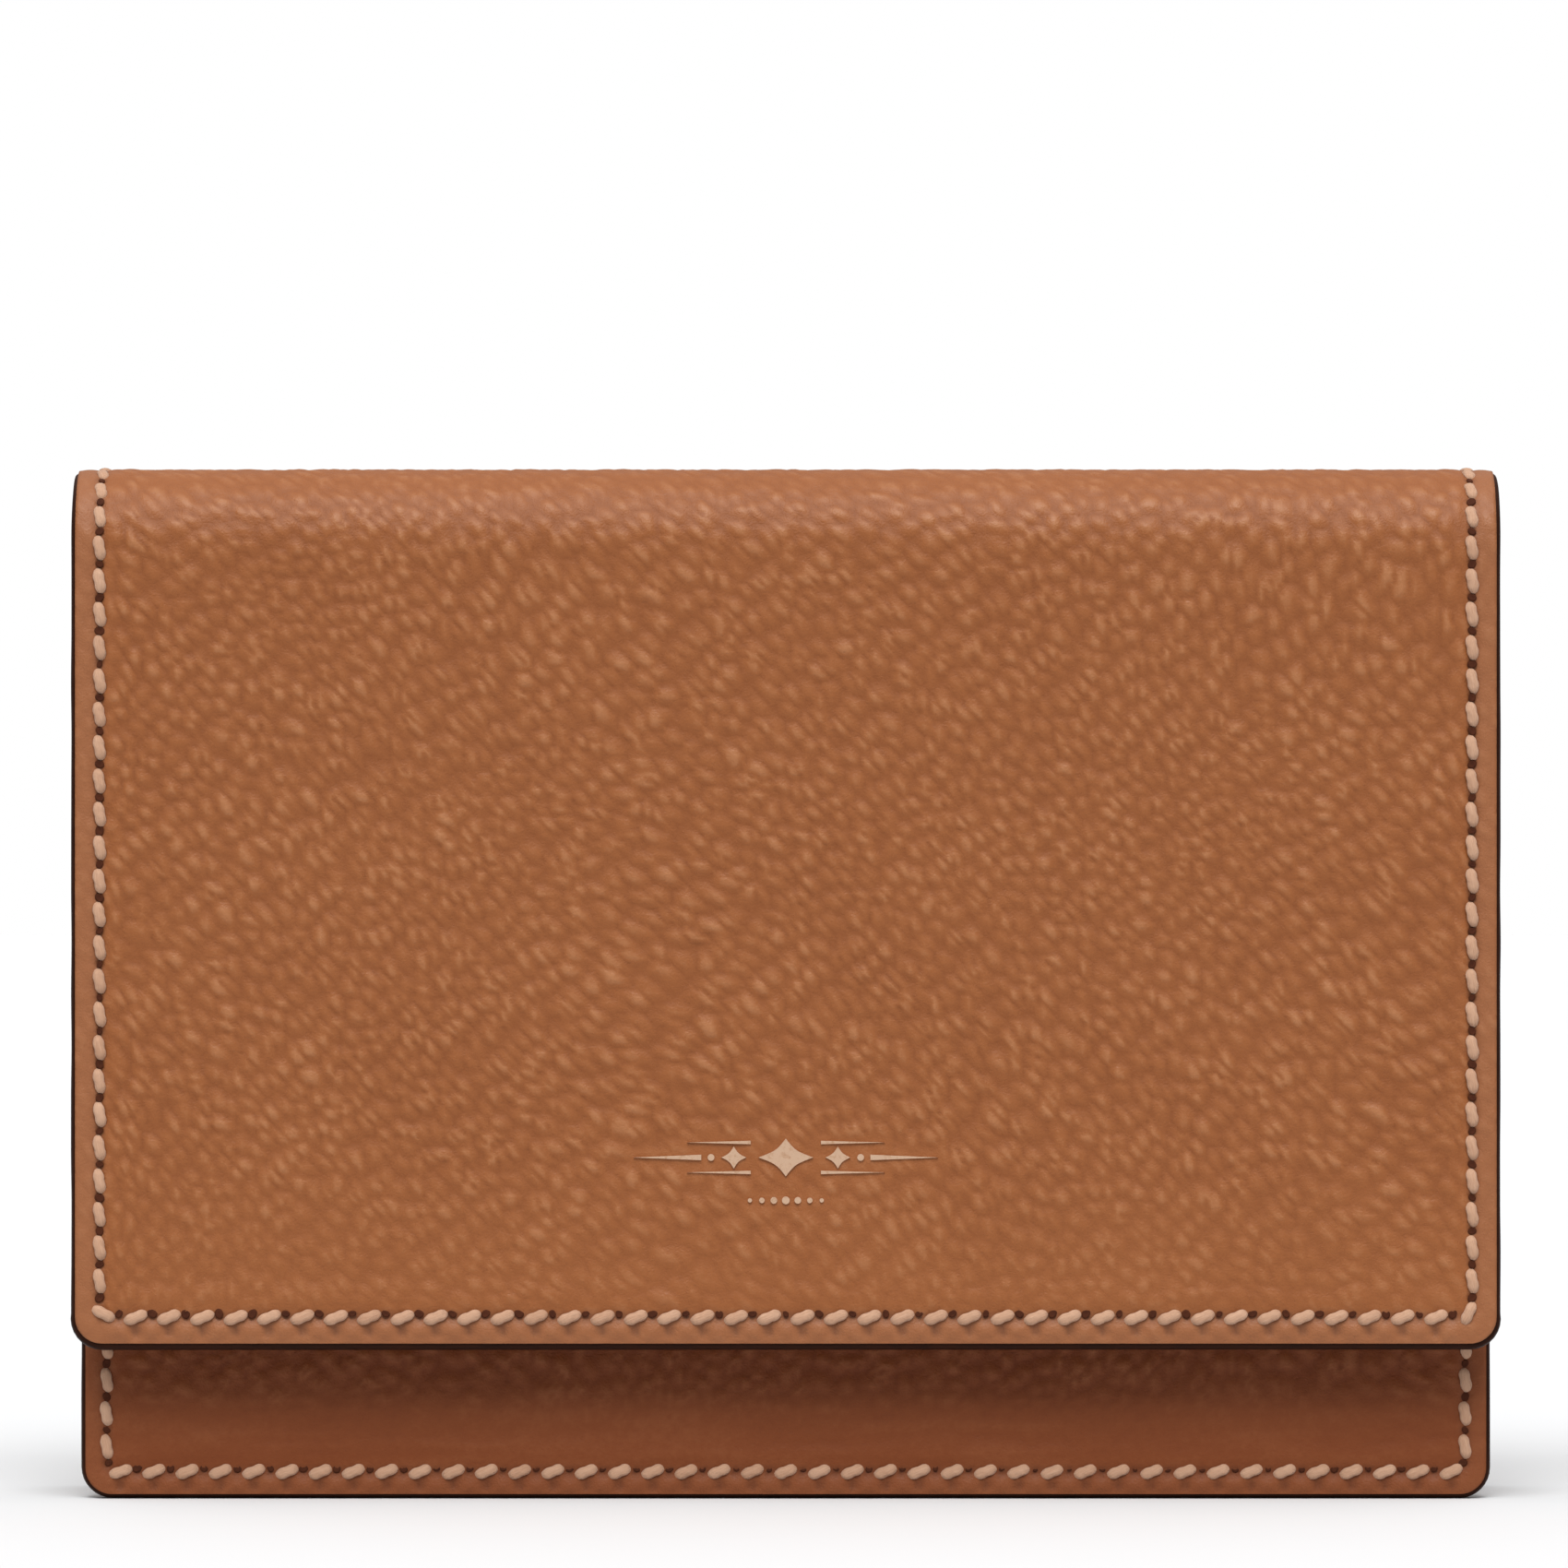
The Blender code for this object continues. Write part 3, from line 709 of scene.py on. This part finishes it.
def front_grain(x_mm, s_mm):
    """Faint streaks that run across, and some grain higher up."""
    streaks = value_noise(x_mm / 9, s_mm / 0.7, 51) * 0.5 + value_noise(x_mm / 4, s_mm / 0.45, 53) * 0.3
    streaks = streaks * (1 - 0.8 * smoothstep(10, 16, s_mm))
    grain = (2 * pebbles(x_mm, s_mm, 1.9, 1.15, 132) - 1.1) * (0.15 + 0.85 * smoothstep(6, 10.5, s_mm))
    field = smoothstep(2.0, 5.0, FRONT.inside(x_mm * MM, s_mm * MM) / MM)
    return 0.40 * streaks + grain * (0.4 + 0.6 * field)


def front_height(x, s):
    relief = GRAIN_DEPTH * front_grain(x / MM, s / MM) + FRONT_SEAM.relief(x, s)
    return relief + edge_roll(FRONT.inside(x, s)) + undulation(x, s, 15 * MM, 0.05 * MM, 57)


def lining_height(outline, thickness):
    """A lining's face: a creased line inside its seam, and the faint edge of the board under it."""
    crease = 3.6 * MM

    def height(x, s):
        inside = outline.inside(x, s)
        relief = bump(inside - crease, -0.07 * MM, 0.22 * MM)
        relief += 0.10 * MM * smoothstep(4.3 * MM, 5.3 * MM, inside) + edge_roll(inside, 0.12 * MM, 0.9 * MM)
        relief += bump(inside - SEAM_INSET, -0.06 * MM, 0.5 * MM)
        return -thickness(s) - relief + undulation(x, s, 12 * MM, 0.03 * MM, 61)

    return height


def sheet_height(outline):
    """A thin inner leather: a creased line along its edge."""
    crease = 1.7 * MM

    def height(x, s):
        inside = outline.inside(x, s)
        relief = bump(inside - crease, -0.06 * MM, 0.2 * MM) + edge_roll(inside, 0.08 * MM, 0.5 * MM)
        return relief + undulation(x, s, 11 * MM, 0.03 * MM, 67)

    return height


# ---- outlines ----

COVER = Outline(HALF_WIDTH, 0, FLAP_HEM, True, True)
REAR = Outline(HALF_WIDTH, 0, SPINE_MIDDLE, True, False)
FLAP = Outline(HALF_WIDTH, SPINE_MIDDLE, FLAP_HEM, False, True)
FRONT = Outline(FRONT_HALF_WIDTH, 0, FRONT_TOP, True, True)
REAR_SEAM = Seam(REAR, SEAM_INSET, HEM_SEAM, SPINE_MIDDLE, -1)
FLAP_SEAM = Seam(FLAP, SEAM_INSET, HEM_SEAM, SPINE_MIDDLE, -1)
FRONT_SEAM = Seam(FRONT, FRONT_SEAM_INSET, HEM_SEAM, FRONT_TOP - 2.0 * MM, 1)

# For each half of the cover: the bodies that it joins, and where its bend starts and ends
BENDS = {
    "rear": (("back", "spine"), (0, HALF_DEPTH, BACK_TOP), (0, HALF_DEPTH - FOLD_RADIUS, HEIGHT)),
    "flap": (("spine", "flap"), (0, FOLD_RADIUS - HALF_DEPTH, HEIGHT), (0, -HALF_DEPTH, BACK_TOP)),
}


def dress(obj, material):
    obj.data.materials.clear()
    obj.data.materials.append(material)


def attach(obj, material, where, slot, *nodes):
    """Gives a piece its material, hangs it on a body, or only bakes its place into its mesh if it lies over a
    fold or a pleat, and hides what it replaces.
    """
    dress(obj, material)
    if where in BENDS:
        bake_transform(obj)
    elif where == "pleat":
        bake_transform(obj)
    else:
        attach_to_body(obj, where)
    if nodes:
        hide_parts(*nodes)


# ---- node materials ----


def add_node(tree, kind, output, values, **settings):
    """An output of a new node. values holds a number, a colour or another output for each of its inputs."""
    node = tree.nodes.new("ShaderNode" + kind)
    for name, setting in settings.items():
        setattr(node, name, setting)
    for name, value in values.items():
        set_input(tree, node, name, value)
    return node.outputs[output]


def set_input(tree, node, name, value):
    if isinstance(value, bpy.types.NodeSocket):
        tree.links.new(value, node.inputs[name])
    else:
        node.inputs[name].default_value = value


class Look:
    """A node material on a Principled shader."""

    def __init__(self, name, roughness=0.5, metallic=0.0, specular=0.5):
        self.material = bpy.data.materials.new(name)
        self.material.use_nodes = True
        self.tree = self.material.node_tree
        self.set("Roughness", roughness)
        self.set("Metallic", metallic)
        self.set("Specular IOR Level", specular)

    def set(self, name, value):
        set_input(self.tree, self.tree.nodes["Principled BSDF"], name, value)

    def stored(self, name, output="Fac"):
        return add_node(self.tree, "Attribute", output, {}, attribute_name=name)

    def place(self):
        """Object coordinates in millimetres, for a piece that never bends."""
        return self.scaled(add_node(self.tree, "TexCoord", "Object", {}), (1000, 1000, 1000))

    def scaled(self, vector, factors):
        return add_node(self.tree, "VectorMath", 0, {0: vector, 1: factors}, operation="MULTIPLY")

    def noise(self, vector, size, detail=3.0, roughness=0.5):
        """Noise from 0 to 1 with features this many millimetres across."""
        values = {"Vector": vector, "Scale": 1 / size, "Detail": detail, "Roughness": roughness}
        return add_node(self.tree, "TexNoise", "Fac", values)

    def crackle(self, vector, size):
        """Distance to the edges of cells this many millimetres across."""
        values = {"Vector": vector, "Scale": 1 / size}
        return add_node(self.tree, "TexVoronoi", "Distance", values, feature="DISTANCE_TO_EDGE")

    def spread(self, value, low, high, to_low=0, to_high=1):
        values = {"Value": value, "From Min": low, "From Max": high, "To Min": to_low, "To Max": to_high}
        return add_node(self.tree, "MapRange", "Result", values)

    def sum(self, *parts):
        """Adds up values, each times its weight."""
        total = 0.0
        for value, weight in parts:
            terms = {0: value, 1: weight, 2: total}
            total = add_node(self.tree, "Math", 0, terms, operation="MULTIPLY_ADD")
        return total

    def mix(self, share, first, second):
        return add_node(self.tree, "Mix", 2, {0: share, 6: first, 7: second}, data_type="RGBA")

    def colour(self, value):
        self.set("Base Color", value)

    def roughness(self, *spread):
        self.set("Roughness", self.spread(*spread))

    def bump(self, height, depth):
        """depth is the height, in metres, that 1 stands for."""
        self.set("Normal", add_node(self.tree, "Bump", "Normal", {"Distance": depth, "Height": height}))


def rgb(red, green, blue, light=1.0):
    """A screen colour, 0 to 255, as the linear colour that a shader takes under this much light."""
    share = np.array([red, green, blue]) / 255
    linear = np.where(share <= 0.04045, share / 12.92, ((share + 0.055) / 1.055) ** 2.4)
    return (*(linear / light).tolist(), 1)


def seen(red, green, blue):
    """The colour of a surface that looks like this from the front, in this scene's light."""
    return rgb(red, green, blue, FRONT_LIGHT)


def pebbled_leather(name, creases, middle, highlit_tops, margin=0.4, specular=0.36):
    look = Look(name, specular=specular)
    at = look.stored("leather_mm", "Vector")
    grain = look.stored("grain")
    fine = look.noise(at, 0.42, 4, 0.6)
    broad = look.noise(at, 11, 2)
    tone = look.sum((grain, 1.0), (fine, 0.9), (broad, 0.7))
    # The grain's colour: partly its own random tone, partly painted shade in the creases and a painted
    # highlight on the pebble tops.
    low = look.mix(look.spread(tone, -0.35, 0.7), creases, middle)
    colour = look.mix(look.spread(tone, 0.75, 1.8), low, highlit_tops)
    # Painted highlight: the rounded margin outside the seam is lightened by the share that margin gives.
    colour = look.mix(look.spread(look.stored("margin"), 0, 1, 0, margin), colour, seen(164, 108, 74))
    colour = look.mix(look.spread(look.stored("shade"), 0, 1, 0, 0.75), colour, seen(82, 40, 20))
    look.colour(colour)
    look.roughness(look.sum((grain, -0.5), (fine, 0.8)), -0.3, 1.0, 0.42, 0.60)
    pores = look.crackle(at, 0.30)
    look.bump(look.sum((fine, 0.7), (pores, 0.5), (look.noise(at, 0.12, 2), 0.35)), 0.00006)
    return look.material


def smooth_leather():
    """Inner leather: a fine close grain."""
    look = Look("lining_leather", specular=0.35)
    at = look.stored("leather_mm", "Vector")
    pores = look.crackle(at, 0.55)
    fine = look.noise(at, 0.3, 4, 0.6)
    broad = look.noise(at, 9, 2)
    tone = look.sum((pores, 0.9), (fine, 0.7), (broad, 0.8))
    look.colour(look.mix(look.spread(tone, 0.45, 1.5), seen(140, 90, 60), seen(168, 116, 82)))
    look.roughness(fine, 0.2, 0.8, 0.52, 0.68)
    look.bump(look.sum((look.spread(pores, 0, 0.25), 0.8), (fine, 0.4)), 0.00004)
    return look.material


def edge_paint():
    look = Look("edge_paint", specular=0.08)
    at = look.stored("leather_mm", "Vector")
    streaks = look.noise(look.scaled(at, (0.35, 3.0, 1.0)), 0.8, 3)
    look.colour(look.mix(streaks, seen(30, 10, 3), seen(60, 28, 12)))
    look.roughness(streaks, 0.2, 0.8, 0.42, 0.58)
    look.bump(look.sum((streaks, 1.0), (look.noise(at, 0.25, 2), 0.3)), 0.00005)
    return look.material


def waxed_thread():
    look = Look("waxed_thread", specular=0.35)
    at = look.stored("thread_mm", "Vector")
    fibres = look.noise(look.scaled(at, (0.5, 1.6, 1.0)), 0.45, 3, 0.6)
    cord = look.noise(look.scaled(at, (0.0, 0.0, 1.0)), 0.7, 0)
    tone = look.sum((fibres, 1.0), (cord, 0.5))
    look.colour(look.mix(look.spread(tone, 0.35, 1.1), seen(190, 138, 104), seen(226, 184, 154)))
    look.roughness(fibres, 0.2, 0.8, 0.55, 0.75)
    look.bump(fibres, 0.00006)
    look.set("Sheen Weight", 0.15)
    return look.material


def shaded_hole():
    look = Look("needle_hole", roughness=0.8, specular=0.15)
    shade = look.noise(look.place(), 0.5, 2)
    # Painted shade: the discs are dark to stand in for the shade inside the needle holes.
    look.colour(look.mix(shade, seen(60, 26, 12), seen(92, 46, 24)))
    return look.material


def gilt_foil():
    look = Look("gilt_foil", metallic=0.35, specular=0.5)
    at = look.place()
    wear = look.noise(at, 0.5, 4, 0.65)
    look.colour(look.mix(look.spread(wear, 0.30, 0.48), seen(196, 148, 110), seen(224, 186, 156)))
    look.roughness(wear, 0.3, 0.7, 0.42, 0.30)
    look.bump(look.noise(at, 0.35, 2), 0.00003)
    return look.material


def turned_brass():
    look = Look("turned_brass", metallic=1.0)
    at = look.place()
    scratches = look.noise(look.scaled(at, (1.0, 6.0, 1.0)), 0.5, 4, 0.6)
    tarnish = look.noise(at, 3.0, 2)
    look.colour(look.mix(look.spread(tarnish, 0.35, 0.7), rgb(212, 176, 118), rgb(226, 194, 140)))
    look.roughness(scratches, 0.3, 0.7, 0.24, 0.36)
    look.bump(scratches, 0.000002)
    return look.material


def fibre_board():
    look = Look("fibre_board", roughness=0.9, specular=0.2)
    at = look.place()
    fibres = look.noise(look.scaled(at, (0.3, 1.0, 1.0)), 0.5, 5, 0.7)
    look.colour(look.mix(look.spread(fibres, 0.3, 0.7), rgb(150, 138, 120), rgb(196, 186, 168)))
    look.bump(fibres, 0.00005)
    return look.material


def pale_floor():
    look = Look("pale_floor", roughness=0.85, specular=0.1)
    look.colour(look.mix(look.noise(look.place(), 220, 2), rgb(211, 213, 216), rgb(215, 217, 220)))
    return look.material


# ---- the leather pieces ----


def margin_highlight_share(outline):
    """1 outside the seam and 0 inside it, in millimetres, for the material to lighten as a painted highlight
    on the rounded margin.
    """

    def share(x_mm, s_mm):
        inside = outline.inside(x_mm * MM, s_mm * MM)
        return 1 - smoothstep(SEAM_INSET - 0.5 * MM, SEAM_INSET + 0.6 * MM, inside)

    return share


def seam_shade(seam):
    """Where sewing presses the leather in, for the material to darken."""
    return lambda x_mm, s_mm: np.clip(-seam.relief(x_mm * MM, s_mm * MM) / (0.22 * MM) - 0.25, 0, 1)


def make_sewn_layers(titles, where, outline, seam, places, thickness, nodes, looks, drop=0.0):
    """What a sewn panel has besides its leather: lining, painted edge, thread and needle holes. The second of
    places is for the thread, and nodes holds what the lining replaces and what the thread replaces."""
    lining_name, edge_name, thread_name, hole_name = titles
    place, thread_at = places
    below = lining_height(outline, thickness)
    inner = outline.shrunk(LINING_INSET)
    lining = panel(lining_name, inner, place, below, hidden_side(thickness), LINING_FINE, LINING_COARSE)
    attach(lining, looks["lining"], where, "lining_leather", *nodes[0])
    attach(bead(edge_name, outline, place, thickness, drop=drop), looks["edge"], where, "cover_leather")
    attach(stitch_row(thread_name, seam, thread_at), looks["thread"], where, "thread", *nodes[1])
    attach(needle_holes(hole_name, seam, place), looks["hole"], where, "cover_leather")


def hidden_side(thickness):
    """The height of a lining's far side."""
    return lambda s: HIDDEN_LAYER - thickness(s)


def make_cover(where, outline, seam, leather_nodes, lining_nodes, thread_nodes, looks):
    """The rear half or the flap half of the cover, each from its hem to the middle of the spine."""
    face = outline.shrunk(FACE_INSET, HEM_FACE_INSET)
    stored = {"grain": cover_grain, "shade": seam_shade(seam), "margin": margin_highlight_share(COVER)}
    leather = panel("cover_leather_" + where, face, cover_place, cover_height(seam), GRAIN_BACK, **stored)
    attach(leather, looks["leather"], where, "cover_leather", *leather_nodes)
    titles = ["cover_" + title + "_" + where for title in ("lining", "edge", "stitches", "needle_holes")]
    drop = HEM_SHADOW_DROP if where == "flap" else 0.0
    nodes = (lining_nodes, thread_nodes)
    places = (cover_place, thread_place)
    make_sewn_layers(titles, where, outline, seam, places, cover_thickness, nodes, looks, drop)
    shown = (lambda s: s > BACK_TOP - 10 * MM) if where == "rear" else None
    inside = stitch_row("lining_stitches_" + where, seam, cover_place, -1, cover_thickness, shown)
    attach(inside, looks["thread"], where, "thread")


def make_front(looks):
    place = flat_place(FRONT_Y)
    stored = {"grain": front_grain, "shade": seam_shade(FRONT_SEAM), "margin": margin_highlight_share(FRONT)}
    face = FRONT.shrunk(FACE_INSET)
    leather = panel("front_leather", face, place, front_height, GRAIN_BACK, **stored)
    attach(leather, looks["front_leather"], "front", "cover_leather", "front_panel")
    titles = ("front_lining_leather", "front_edge", "front_stitches", "front_needle_holes")
    nodes = (("front_lining",), ("front_thread",))
    depth = even_thickness(FRONT_THICKNESS)
    make_sewn_layers(titles, "front", FRONT, FRONT_SEAM, (place, place), depth, nodes, looks)


def make_inner_sheet(node, body, looks, lift=0.0):
    """A card slot or the divider: a leather sheet with a creased line and a painted edge. Its foot is higher
    than the solid's by lift, to stay off the floor gusset when the pockets open."""
    name = node + "_leather"
    low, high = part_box(node)
    thickness = high.y - low.y
    outline = Outline(high.x, low.z + lift, high.z, False, True)
    place = flat_place(low.y)
    face = outline.shrunk(SHEET_TRIM)
    under = even_thickness(-thickness)
    sheet = panel(name, face, place, sheet_height(outline), under, SHEET_FINE, LINING_COARSE)
    attach(sheet, looks["lining"], body, "lining_leather", node)
    edge = bead(name + "_edge", outline, place, even_thickness(thickness), 0.06 * MM, 0.16 * MM, 0.5 * MM)
    attach(edge, looks["edge"], body, "lining_leather")


# ---- gussets ----


def eased(points, radius):
    """A line with its corners rounded, each within this distance."""
    steps = 6
    points = [Vector(point) for point in points]
    line = [points[0]]
    for before, corner, after in zip(points, points[1:], points[2:]):
        start = corner + (before - corner).normalized() * radius
        end = corner + (after - corner).normalized() * radius
        for step in range(steps + 1):
            share = step / steps
            line.append((1 - share) ** 2 * start + 2 * share * (1 - share) * corner + share**2 * end)
    line.append(points[-1])
    return line


def folded_sheet(name, line, axis, low, high, wrinkle):
    """A thin sheet that follows a line, swept along an axis from low to high, with rounded rims and faint
    wrinkles."""
    line = np.array([tuple(point) for point in line])
    reach = distances(line)
    run = np.linspace(0, reach[-1], int(reach[-1] / (0.3 * MM)) + 2)
    points = points_at(run, reach, line)
    along = np.gradient(points, axis=0)
    along /= np.hypot(*along.T)[:, None]
    across = square_to(along)
    turns = np.radians(np.linspace(0, 180, 7))
    radius = GUSSET / 2
    sweep = np.arange(low + radius, high - radius, 0.8 * MM)
    rounding = radius * np.sin(turns)
    level = np.r_[sweep, high - radius + rounding, sweep[::-1], low + radius - rounding]
    offset = np.r_[0 * sweep + radius, radius * np.cos(turns), 0 * sweep - radius, -radius * np.cos(turns)]
    level, run = level[None, :], run[:, None]
    bulge = wrinkle * value_noise(level / (7 * MM), run / (3.5 * MM), 71) * np.sin(math.pi * run / run.max())
    shift = offset[None, :] + bulge
    places = [points[:, k, None] + across[:, k, None] * shift for k in (0, 1)]
    places.insert(axis, level + 0 * shift)
    vertices = np.stack(places, -1)
    obj = closed_mesh(name, vertices, tube_faces(numbered(vertices)))
    store(obj, "leather_mm", np.stack([run + 0 * shift, level + 0 * shift, 0 * shift], -1) / MM)
    return obj


def make_gussets(looks):
    low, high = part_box("gusset_right")
    flange = 3.7 * MM
    half = GUSSET / 2
    back_y, front_y = high.y - half, low.y + half
    middle_y = (back_y + front_y) / 2 - 0.7 * MM
    edge_x, flange_x, fold_x = high.x, high.x - flange, low.x + half
    pleat = [(edge_x, back_y), (flange_x, back_y), (fold_x, middle_y), (flange_x, front_y), (edge_x, front_y)]
    for name, side in (("left", -1), ("right", 1)):
        line = [(side * x, y) for x, y in eased(pleat, 1.3 * MM)]
        obj = folded_sheet("side_gusset_" + name, line, 2, low.z, high.z, 0.12 * MM)
        attach(obj, looks["lining"], "pleat", "lining_leather", "gusset_" + name)
    low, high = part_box("gusset_bottom")
    back_y, front_y = high.y - half, low.y + half
    floor_z = high.z - half
    floor = [(back_y, low.z), (back_y, floor_z), (front_y, floor_z), (front_y, low.z)]
    obj = folded_sheet("floor_gusset", eased(floor, 1.0 * MM), 0, low.x, high.x, 0.05 * MM)
    attach(obj, looks["lining"], "pleat", "lining_leather", "gusset_bottom")


# ---- metal and foil ----


def turned(name, profile, base_y):
    """A ring or a plug turned round the snap's axis. The profile holds (radius, y from the base) in
    millimetres, and a ring's closes on itself."""
    angle = circle(72)[None, :]
    radius, y = np.array(profile).T[..., None] * MM
    y = base_y + y + 0 * angle
    points = np.stack([radius * np.cos(angle), y, SNAP_Z + radius * np.sin(angle)], -1)
    faces = tube_faces(numbered(points), capped=profile[0] != profile[-1])
    return closed_mesh(name, points, faces, sharp=35)


def arc(centre_radius, centre_y, size, first, last, steps=6):
    """Points of a turned profile round a centre. 0 degrees points away from the axis and 90 to +Y."""
    turns = np.radians(np.linspace(first, last, steps))
    return [(centre_radius + size * math.cos(turn), centre_y + size * math.sin(turn)) for turn in turns]


def make_snap(brass):
    """The socket on the flap and the stud on the front."""
    ring = [
        (2.3, -0.05),
        (5.2, -0.05),
        *arc(5.2, 0.3, 0.3, -60, 75),
        (4.75, 0.62),
        *arc(4.0, 1.35, 0.25, 0, 90),
        (3.3, 1.45),
        *arc(2.85, 1.25, 0.35, 60, 170),
        (2.3, 0.7),
        (2.3, -0.05),
    ]
    wire = arc(2.26, 1.0, 0.13, 0, 360, 13)
    stud = [
        (0.01, 0.1),
        (4.7, 0.1),
        *arc(4.75, -0.30, 0.25, 45, -70),
        (3.6, -0.68),
        (1.9, -0.80),
        *arc(1.9, -1.05, 0.25, 90, 180),
        (1.6, -1.35),
        *arc(1.45, -1.78, 0.52, 40, -75, 8),
        (0.9, -2.26),
        (0.01, -2.22),
    ]
    lining_y = FLAP_THICKNESS - HALF_DEPTH
    attach(turned("snap_socket_ring", ring, lining_y), brass, "flap", "snap_brass", "snap_socket")
    attach(turned("snap_spring", wire[:-1] + wire[:1], lining_y), brass, "flap", "snap_brass")
    attach(turned("snap_stud_button", stud, FRONT_Y), brass, "front", "snap_brass", "snap_stud")


def make_ornament(foil):
    """Foil shapes pressed a little into the flap."""
    outer_y = -HALF_DEPTH - FOIL_RISE
    points, faces = [], []
    for shape in ORNAMENT:
        index = len(points) + np.arange(2 * len(shape)).reshape(2, -1)
        faces += tube_faces(index)
        for y in (outer_y, outer_y + FOIL_DEPTH):
            points += [(x * MM, y, STAMP_Z + z * MM) for x, z in shape]
    obj = closed_mesh("gilt_ornament", points, faces, smooth=0)
    attach(obj, foil, "flap", "cover_leather")


# ---- floor, light and camera ----


def make_stage():
    half = 3.0
    corners = [(-half, -half, 0), (half, -half, 0), (half, half, 0), (-half, half, 0)]
    floor = link_mesh("floor", corners, [[0, 1, 2, 3]])
    dress(floor, pale_floor())


def make_world():
    """A sky that is brighter overhead, and plain white where the camera sees it."""
    world = bpy.data.worlds.new("studio")
    world.use_nodes = True
    tree = world.node_tree
    direction = add_node(tree, "TexCoord", "Generated", {})
    up = add_node(tree, "SeparateXYZ", "Z", {0: direction})
    strength = add_node(tree, "MapRange", "Result", {"Value": up, "To Min": SKY_LOW, "To Max": SKY_HIGH})
    sky = add_node(tree, "Background", 0, {"Color": (1, 0.99, 0.975, 1), "Strength": strength})
    backdrop = add_node(tree, "Background", 0, {"Color": (1, 1, 1, 1)})
    to_camera = add_node(tree, "LightPath", "Is Camera Ray", {})
    either = add_node(tree, "MixShader", 0, {0: to_camera, 1: sky, 2: backdrop})
    tree.links.new(either, tree.nodes["World Output"].inputs[0])
    bpy.context.scene.world = world


def make_key_light():
    """A large soft light, high in front and a touch to the left."""
    data = bpy.data.lights.new("key", "SUN")
    data.energy = KEY_STRENGTH
    data.angle = math.radians(KEY_SPREAD)
    data.color = (1, 0.985, 0.96)
    link("key", data).rotation_euler = (math.radians(90 - KEY_ELEVATION), 0, math.radians(-KEY_LEFT))


def make_camera():
    distance = 0.80
    seen_width = 120.5 * MM  # at the flap's face
    aim_x, aim_z = -0.14 * MM, 55.3 * MM
    data = bpy.data.cameras.new("camera")
    data.sensor_width = 36
    data.lens = data.sensor_width * distance / seen_width
    data.clip_start, data.clip_end = 0.05, 20
    camera = link("camera", data)
    camera.location = (aim_x, -HALF_DEPTH - distance, aim_z)
    camera.rotation_euler = (math.pi / 2, 0, 0)
    bpy.context.scene.camera = camera


def main():
    # The front's tones are darker than the flap's: painted shade for the flap's shadow over the front.
    flap_tones = (seen(143, 78, 29), seen(159, 92, 42), seen(183, 121, 76))
    front_shaded_tones = (seen(120, 57, 23), seen(134, 69, 32), seen(152, 88, 50))
    looks = {
        "leather": pebbled_leather("pebbled_leather", *flap_tones),
        "front_leather": pebbled_leather("front_leather", *front_shaded_tones, margin=0.15, specular=0.2),
        "lining": smooth_leather(),
        "edge": edge_paint(),
        "thread": waxed_thread(),
        "hole": shaded_hole(),
    }
    make_cover(
        "rear",
        REAR,
        REAR_SEAM,
        ("back_panel", "spine_panel"),
        ("back_lining", "spine_lining"),
        ("back_thread", "spine_thread_left", "spine_thread_right"),
        looks,
    )
    make_cover("flap", FLAP, FLAP_SEAM, ("flap_panel",), ("flap_lining",), ("flap_thread",), looks)
    make_front(looks)
    make_inner_sheet("card_slot_upper", "back", looks)
    make_inner_sheet("card_slot_lower", "back", looks)
    make_inner_sheet("divider", "divider", looks, lift=DIVIDER_LIFT)
    make_gussets(looks)
    brass = turned_brass()
    make_snap(brass)
    make_ornament(gilt_foil())
    board = fibre_board()
    for node in ("flap_board", "front_board"):
        dress(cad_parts[node], board)
    for node in ("snap_cap", "snap_stud_plate"):
        dress(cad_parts[node], brass)
    make_stage()
    make_world()
    make_key_light()
    make_camera()
    bpy.context.scene.view_settings.view_transform = "Standard"


main()
